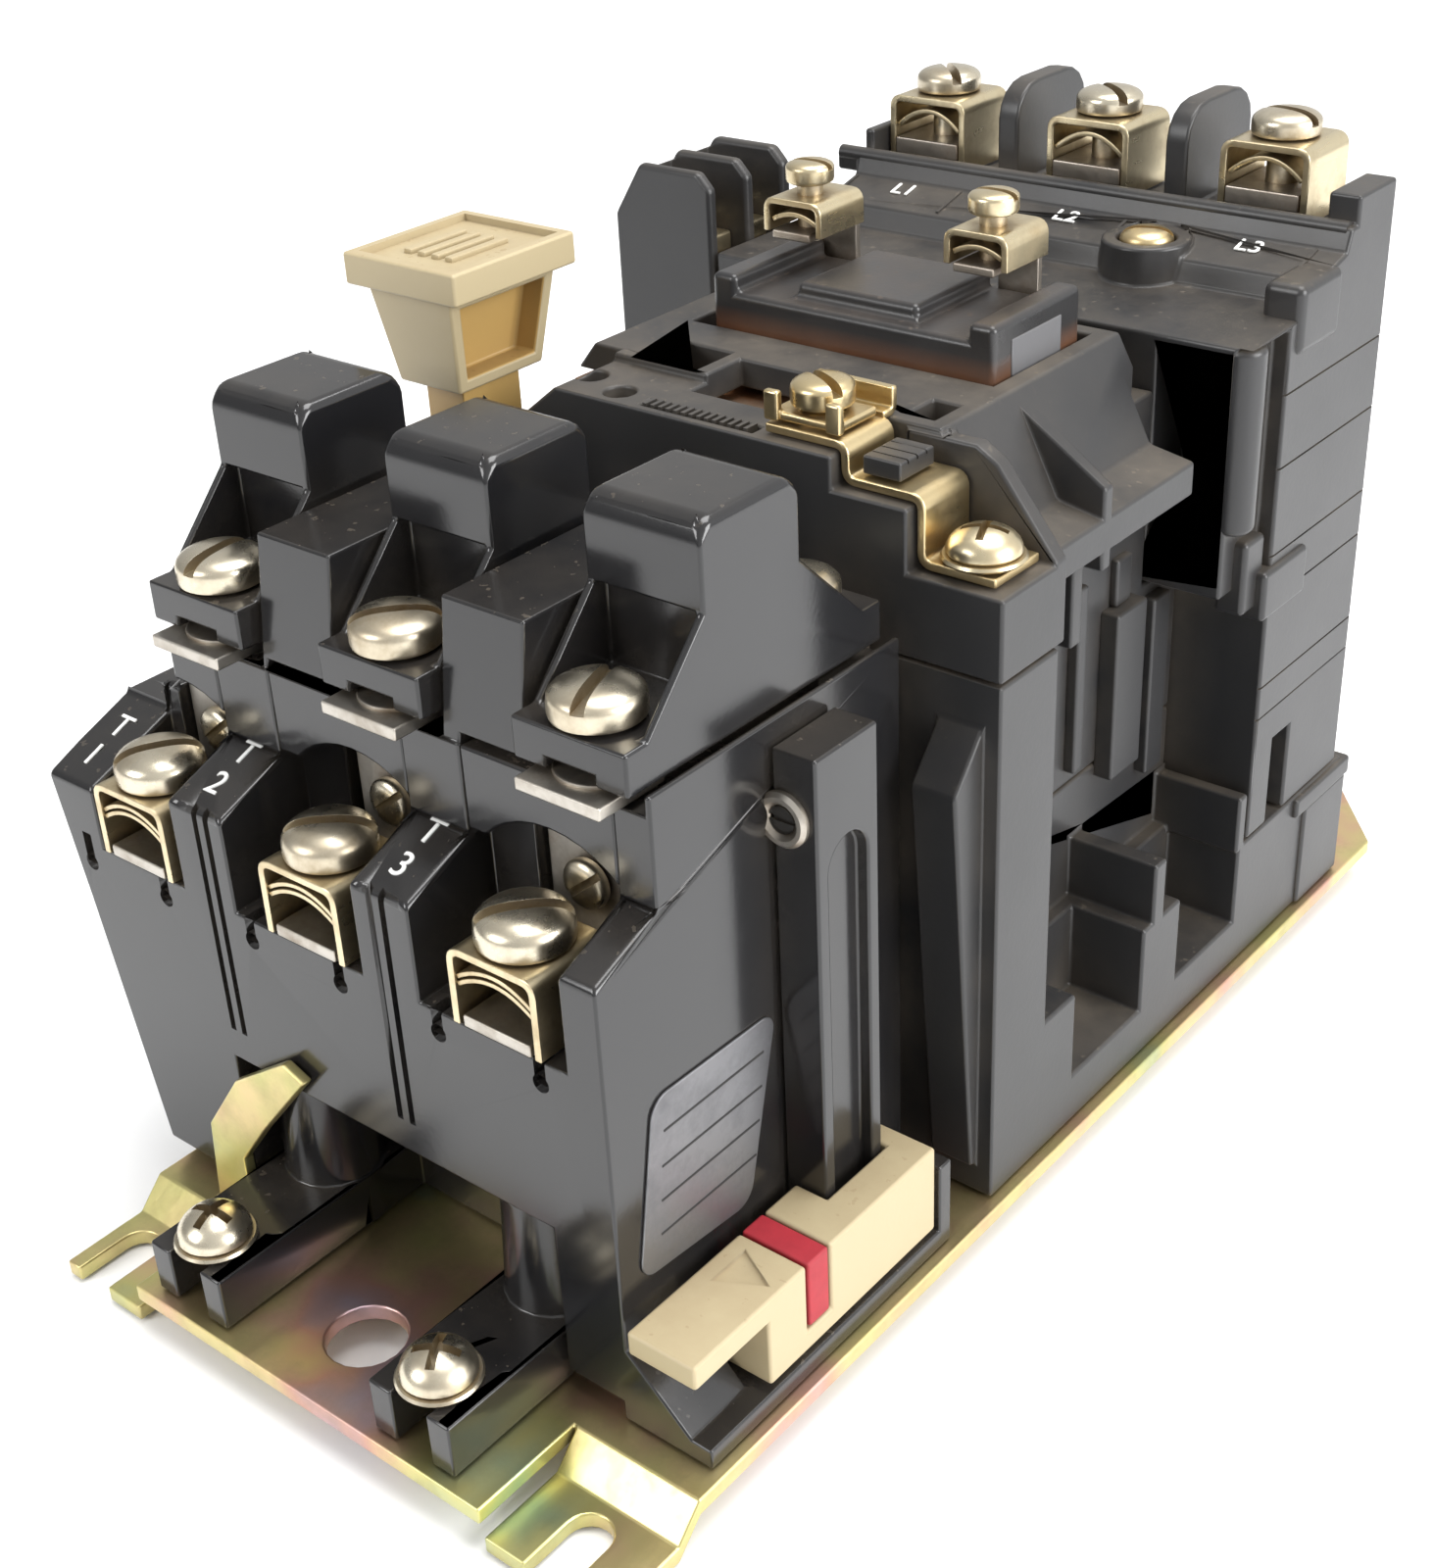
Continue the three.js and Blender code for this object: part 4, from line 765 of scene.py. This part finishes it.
def make_load_marks():
    """T1 to T3 on the sloping rib tops. The first rib is lower and steeper than the others."""
    for n, x in zip(POLES, (-43.4, -21.4, 6.3)):
        drop, lean = (3.6, -5.0) if n == 1 else (0, -4.6)
        slope = Vector((0, lean, 12.1)).normalized()
        for kind, text, y, z in (("letter", "T", -61.7, 62.07), ("digit", str(n), -65.9, 60.47)):
            mark = placed(lettering(text, 3.0), (x, y, z - drop), slope)
            finish(f"load_mark_{n}_{kind}", mark, "paint", flip=False)


def make_nameplate():
    """A blank rounded plate let into the side wall."""
    wall = 34.5
    outline = [(-44.2, 42.4), (-63.3, 42.9), (-66.8, 22.7), (-49.5, 21)]
    plate = round_edges(prism(outline, 0.3, side_on(wall)), 2.2, 6,
                        lambda e: abs((e.verts[0].co - e.verts[1].co).normalized().x) > 0.9)
    finish("side_nameplate", plate, "plate", bevel=0.1)
    lines = ((38.6, -62, -46.5), (34.6, -62.6, -47), (30.6, -63, -47.6), (26.6, -63.4, -48.4))
    rules = [block((wall + 0.25, y0, z - 0.12), (wall + 0.36, y1, z + 0.12)) for z, y0, y1 in lines]
    finish("side_nameplate_rules", joined(*rules), "void")


def make_heaters():
    for n, turn in zip(POLES, (96, 47, 109)):
        node = f"heater_{n}"
        low, high = corners(node)
        spot, top = middle(f"heater_screw_{n}"), corners(f"heater_screw_{n}")[1].z

        def crown(shape, crest=high.z - 2):
            round_edges(shape, 1.1, 4, lambda e: min(v.co.z for v in e.verts) > crest)
        remade(node, node + "_moulding", "gloss", 0.38, first=crown)
        disc = rod((spot.x, spot.y - 0.4, low.z - 1.5), (0, 0, 1), 1.4, 4.4)
        finish(f"heater_disc_{n}", round_edges(disc, 0.3, 2), "silver")
        screw(f"heater_screw_{n}_head", domed_head(4.7, 3.5, 1.4, 1.5, 0.5), (spot.x, spot.y, top - 3), turn,
              stands_for=[f"heater_screw_{n}"], bevel=0.14)
        screw(f"heater_rear_screw_{n}", domed_head(4.4, 2.8, 1.3, 1.3), (spot.x, -28, top - 3), turn + 40,
              bevel=0.12)
        remade(f"load_terminal_{n}", f"load_terminal_{n}_finished", "silver", 0.22, 2)


def make_load_terminals():
    for n, turn in zip(POLES, (58, 40, 48)):
        clamp = f"load_clamp_{n}"
        low, high = corners(clamp)
        spot, top = middle(clamp), corners(f"load_screw_{n}")[1].z
        saddle(clamp, 0.85, 1.5)
        for layer, lift in (("upper", 0.0), ("lower", -0.85)):
            wire = bowed_plate(spot.x, low.y + 0.3, high.y - 0.3, 4.85, 53.7 + lift, 1.7)
            finish(f"load_wire_plate_{n}_{layer}", wire, "gold", thick=0.5, bevel=0.08, flip=False)
        screw(f"load_screw_{n}_head", domed_head(4.95, 3.8, 1.5, 1.6, 0.42), (spot.x, spot.y, top - 3.0), turn,
              stands_for=[f"load_screw_{n}"], bevel=0.14)


def make_contact_block():
    node, facing = "overload_contact_block", (0, -1, 0)
    remade(node, node + "_moulding", "gloss", 0.35)
    spot = (36.2, corners(node)[0].y - 0.02, 65)
    ring = lathe([(1.5, 0), (3.0, 0), (3.0, 0.5), (2.6, 0.9), (2.1, 0.9), (1.5, 0.3), (1.5, 0)])
    finish("contact_block_eyelet", placed(ring, spot, facing), "silver")
    # a dark disc in the eyelet's hole: painted shade where the hole goes into the block
    finish("contact_block_hole_shade", placed(domed_head(1.5, 0.4, 0.5, 0.3), spot, facing), "void")


def make_test_lever():
    top = corners("test_lever")[1].z
    arrow = prism([(38.2, -60.6), (38.2, -54.8), (43.6, -57.7)], 2, Matrix.Translation((0, 0, top - 0.45)))
    finish("test_lever_moulding", carved(moulding("test_lever", 0.4), arrow), "ivory", LEVER, ["test_lever"])
    remade("trip_flag", "trip_flag_finished", "red", 0.3, 2, LEVER)


def make_reset_button():
    low, high = corners("reset_button")
    mid, brim, waist = middle("reset_button"), high.z - 3.6, 90
    flange = round_edges(block((low.x, low.y, brim), high), 0.35, 3)
    dish = block((low.x + 1.3, low.y + 1.3, high.z - 0.8), (high.x - 1.3, high.y - 1.3, high.z + OVER))
    marks = [block((x - 4.2, mid.y - 4.4, high.z - 1), (x - 3.0, mid.y + 4.4, high.z - 0.25))
             for x in (mid.x + 2.1 * i for i in range(4))]
    cap = joined(carved(flange, dish), *[round_edges(mark, 0.2, 2) for mark in marks])
    finish("reset_button_cap", cap, "ivory", BUTTON, ["reset_button"])
    finish("reset_button_body", hollow_neck(mid, waist, brim + 0.2), ["ivory", "amber"], BUTTON, bevel=0.3)
    stem = block((mid.x - 3, mid.y - 4.5, low.z), (mid.x + 3, mid.y + 4.5, waist + 0.1))
    finish("reset_button_stem", round_edges(stem, 0.3, 2), "amber", BUTTON)


def hollow_neck(mid, z0, z1):
    """A block that widens upwards, with an amber pocket in its +X face."""
    foot, head = Vector((4.7, 6.6, 0)), Vector((6.4, 8.3, 0))
    body = block((mid.x - foot.x, mid.y - foot.y, z0), (mid.x + foot.x, mid.y + foot.y, z1))
    upper = [v for v in body.verts if v.co.z > z0 + 1]
    bmesh.ops.translate(body, vec=(-mid.x, -mid.y, 0), verts=upper)
    bmesh.ops.scale(body, vec=(head.x / foot.x, head.y / foot.y, 1), verts=upper)
    bmesh.ops.translate(body, vec=(mid.x, mid.y, 0), verts=upper)
    body.faces.ensure_lookup_table()
    window = max(body.faces, key=lambda f: f.calc_center_median().x)
    bmesh.ops.inset_region(body, faces=[window], thickness=1.5, depth=0, use_even_offset=True)
    floor = verts_of(bmesh.ops.extrude_face_region(body, geom=[window])["geom"])
    bmesh.ops.delete(body, geom=[window], context="FACES_ONLY")
    bmesh.ops.translate(body, vec=(-3.2, 0, 0), verts=floor)
    for face in body.faces:
        if sum(v in floor for v in face.verts) in (2, len(face.verts)):
            face.material_index = 1
    return body


def make_foot_screws():
    for side, turn in zip(SIDES, (10, 30)):
        node = f"foot_screw_{side}"
        spot, top = middle(node), corners(node)[1].z
        screw(node + "_head", crossed_head(4.1, 3.9, 1.0, 1.8), (spot.x, spot.y, top - 3.9), turn,
              stands_for=[node])


# ---- floor, lights and camera ----
def area_light(name, spot, aim, size, power):
    data = bpy.data.lights.new(name, "AREA")
    data.energy, data.size = power, size
    lamp = bpy.data.objects.new(name, data)
    lamp.location = spot
    lamp.rotation_euler = (Vector(aim) - Vector(spot)).to_track_quat("-Z", "Y").to_euler()
    bpy.context.scene.collection.objects.link(lamp)


def make_floor(tone):
    shape = bmesh.new()
    bmesh.ops.create_grid(shape, x_segments=1, y_segments=1, size=3)
    mesh = bpy.data.meshes.new("floor")
    shape.to_mesh(mesh)
    shape.free()
    floor = bpy.data.objects.new("floor", mesh)
    bpy.context.scene.collection.objects.link(floor)
    pale, tree, shader = bare_material("pale_floor")
    link(tree, mixed(tree, noise(tree, 3.0), tone, tuple(c * 0.98 for c in tone)), shader.inputs["Base Color"])
    shader.inputs["Roughness"].default_value = 0.8
    mesh.materials.append(pale)
    floor.location.z = -0.0004


def make_world():
    """A studio that is brighter on the right and behind than in front."""
    world = bpy.data.worlds.new("studio")
    bpy.context.scene.world = world
    world.use_nodes = True
    tree = world.node_tree
    sky = tree.nodes["Background"]
    coord, aim = tree.nodes.new("ShaderNodeTexCoord"), tree.nodes.new("ShaderNodeVectorMath")
    aim.operation = "DOT_PRODUCT"
    aim.inputs[1].default_value = (0.75, 0.45, 0.3)
    link(tree, coord.outputs["Generated"], aim.inputs[0])
    spread = tree.nodes.new("ShaderNodeMapRange")
    link(tree, aim.outputs["Value"], spread.inputs["Value"])
    for socket, value in zip(spread.inputs[1:5], (-0.9, 0.9, 0.3, 1.1)):
        socket.default_value = value
    sky.inputs["Color"].default_value = (1, 1, 1, 1)
    link(tree, spread.outputs["Result"], sky.inputs["Strength"])


def make_stage(looks):
    make_floor(tuple(looks.floor_colour))
    make_world()
    target = (0, -0.01, 0.05)
    area_light("key", (-0.3, -0.75, 0.5), target, 0.4, 4)
    area_light("top", (0.1, 0.15, 0.9), target, 0.6, 8)
    area_light("right", (0.8, 0.1, 0.35), target, 0.5, 8)
    bpy.context.scene.view_settings.view_transform = "Standard"


def make_camera(looks):
    azimuth, elevation, roll = looks.camera_azimuth, looks.camera_elevation, looks.camera_roll
    back = Vector((math.sin(azimuth) * math.cos(elevation), -math.cos(azimuth) * math.cos(elevation),
                   math.sin(elevation)))
    right = (-back).cross(Vector((0, 0, 1))).normalized()
    down = (-back).cross(right)
    cam_x = math.cos(roll) * right - math.sin(roll) * down
    cam_y = -(math.sin(roll) * right + math.cos(roll) * down)
    data = bpy.data.cameras.new("camera")
    data.lens, data.sensor_width = looks.camera_lens, 36
    data.clip_start, data.clip_end = 0.01, 20
    camera = bpy.data.objects.new("camera", data)
    axes = Matrix((cam_x, cam_y, back)).transposed().to_4x4()
    camera.matrix_world = Matrix.Translation(looks.camera_place) @ axes
    bpy.context.scene.collection.objects.link(camera)
    bpy.context.scene.camera = camera


# ---- add-on ----
class StarterLooks(bpy.types.PropertyGroup):
    housing_colour: FloatVectorProperty(name="Housing", description="Phenolic of the contactor housings",
                                        subtype="COLOR", default=(0.020, 0.020, 0.021))
    relay_colour: FloatVectorProperty(name="Relay", description="Glossy phenolic of the relay and heaters",
                                      subtype="COLOR", default=(0.010, 0.010, 0.011))
    plate_colour: FloatVectorProperty(name="Plate", description="Main tone of the chromate on the plate",
                                      subtype="COLOR", default=(0.66, 0.52, 0.26))
    ivory_colour: FloatVectorProperty(name="Ivory", description="Plastic of the reset button and test lever",
                                      subtype="COLOR", default=(0.40, 0.33, 0.20))
    floor_colour: FloatVectorProperty(name="Floor", description="Plain studio floor", subtype="COLOR",
                                      default=(0.92, 0.92, 0.92))
    dust: FloatProperty(name="Dust", description="How much dust lies on the housings", default=0.35,
                        min=0, max=1)
    camera_azimuth: FloatProperty(name="Azimuth", description="Camera turn from looking along +Y",
                                  subtype="ANGLE", default=math.radians(40.6))
    camera_elevation: FloatProperty(name="Elevation", description="Camera height above the horizon",
                                    subtype="ANGLE", default=math.radians(30.1))
    camera_roll: FloatProperty(name="Roll", description="Camera roll", subtype="ANGLE",
                               default=math.radians(-3))
    camera_lens: FloatProperty(name="Lens", description="Focal length in millimetres", default=50.85)
    camera_place: FloatVectorProperty(name="Place", description="Camera position", subtype="TRANSLATION",
                                      default=(0.1489, -0.1847, 0.1738))


def operator_for(label, docstring, builder):
    """An operator class that builds one group of pieces."""
    def execute(self, context):
        if not MATERIALS:
            MATERIALS.update(make_materials(context.scene.starter_looks))
        builder()
        return {"FINISHED"}
    key = label.lower().replace(" ", "_")
    return type("STARTER_OT_" + key, (bpy.types.Operator,), {
        "bl_idname": "starter." + key, "bl_label": label, "__doc__": docstring, "execute": execute})


class STARTER_OT_stage(bpy.types.Operator):
    """Lays the floor and sets the lights and the camera"""
    bl_idname = "starter.stage"
    bl_label = "Stage"

    def execute(self, context):
        make_stage(context.scene.starter_looks)
        make_camera(context.scene.starter_looks)
        return {"FINISHED"}


BUILDERS = [
    operator_for("Plate", "Builds the chromated mounting plate", make_plate),
    operator_for("Contactor Base", "Builds the lower housing of the contactor", make_contactor_base),
    operator_for("Magnet Cover", "Builds the cover over the magnet", make_magnet_cover),
    operator_for("Line Block", "Builds the block under the line terminals", make_line_block),
    operator_for("Auxiliary Block", "Builds the auxiliary contact block", make_auxiliary_block),
    operator_for("Magnet", "Builds the coil, magnet and contacts", make_magnet),
    operator_for("Line Terminals", "Builds the line clamps and screws", make_line_terminals),
    operator_for("Coil Terminals", "Builds the coil clamps and screws", make_coil_terminals),
    operator_for("Jumper", "Builds the jumper strap and its screws", make_jumper),
    operator_for("Overload Base", "Builds the overload relay housing", make_overload_base),
    operator_for("Heaters", "Builds the heater elements and their screws", make_heaters),
    operator_for("Load Terminals", "Builds the load clamps and screws", make_load_terminals),
    operator_for("Contact Block", "Builds the relay contact block", make_contact_block),
    operator_for("Test Lever", "Builds the test lever and trip flag", make_test_lever),
    operator_for("Reset Button", "Builds the reset button", make_reset_button),
    operator_for("Foot Screws", "Builds the screws through the relay feet", make_foot_screws),
]


class STARTER_PT_panel(bpy.types.Panel):
    """Lists the builders"""
    bl_label = "Motor Starter"
    bl_space_type = "VIEW_3D"
    bl_region_type = "UI"
    bl_category = "Starter"

    def draw(self, context):
        looks = context.scene.starter_looks
        for name in looks.bl_rna.properties.keys():
            if name not in ("rna_type", "name"):
                self.layout.prop(looks, name)
        for builder in BUILDERS + [STARTER_OT_stage]:
            self.layout.operator(builder.bl_idname)


CLASSES = [StarterLooks, *BUILDERS, STARTER_OT_stage, STARTER_PT_panel]


def register():
    for made in CLASSES:
        bpy.utils.register_class(made)
    bpy.types.Scene.starter_looks = PointerProperty(type=StarterLooks)


def unregister():
    del bpy.types.Scene.starter_looks
    for made in reversed(CLASSES):
        bpy.utils.unregister_class(made)


def main():
    register()
    bpy.ops.starter.stage()
    for builder in BUILDERS:
        getattr(bpy.ops.starter, builder.bl_idname.split(".")[1])()


if __name__ == "__main__":
    main()
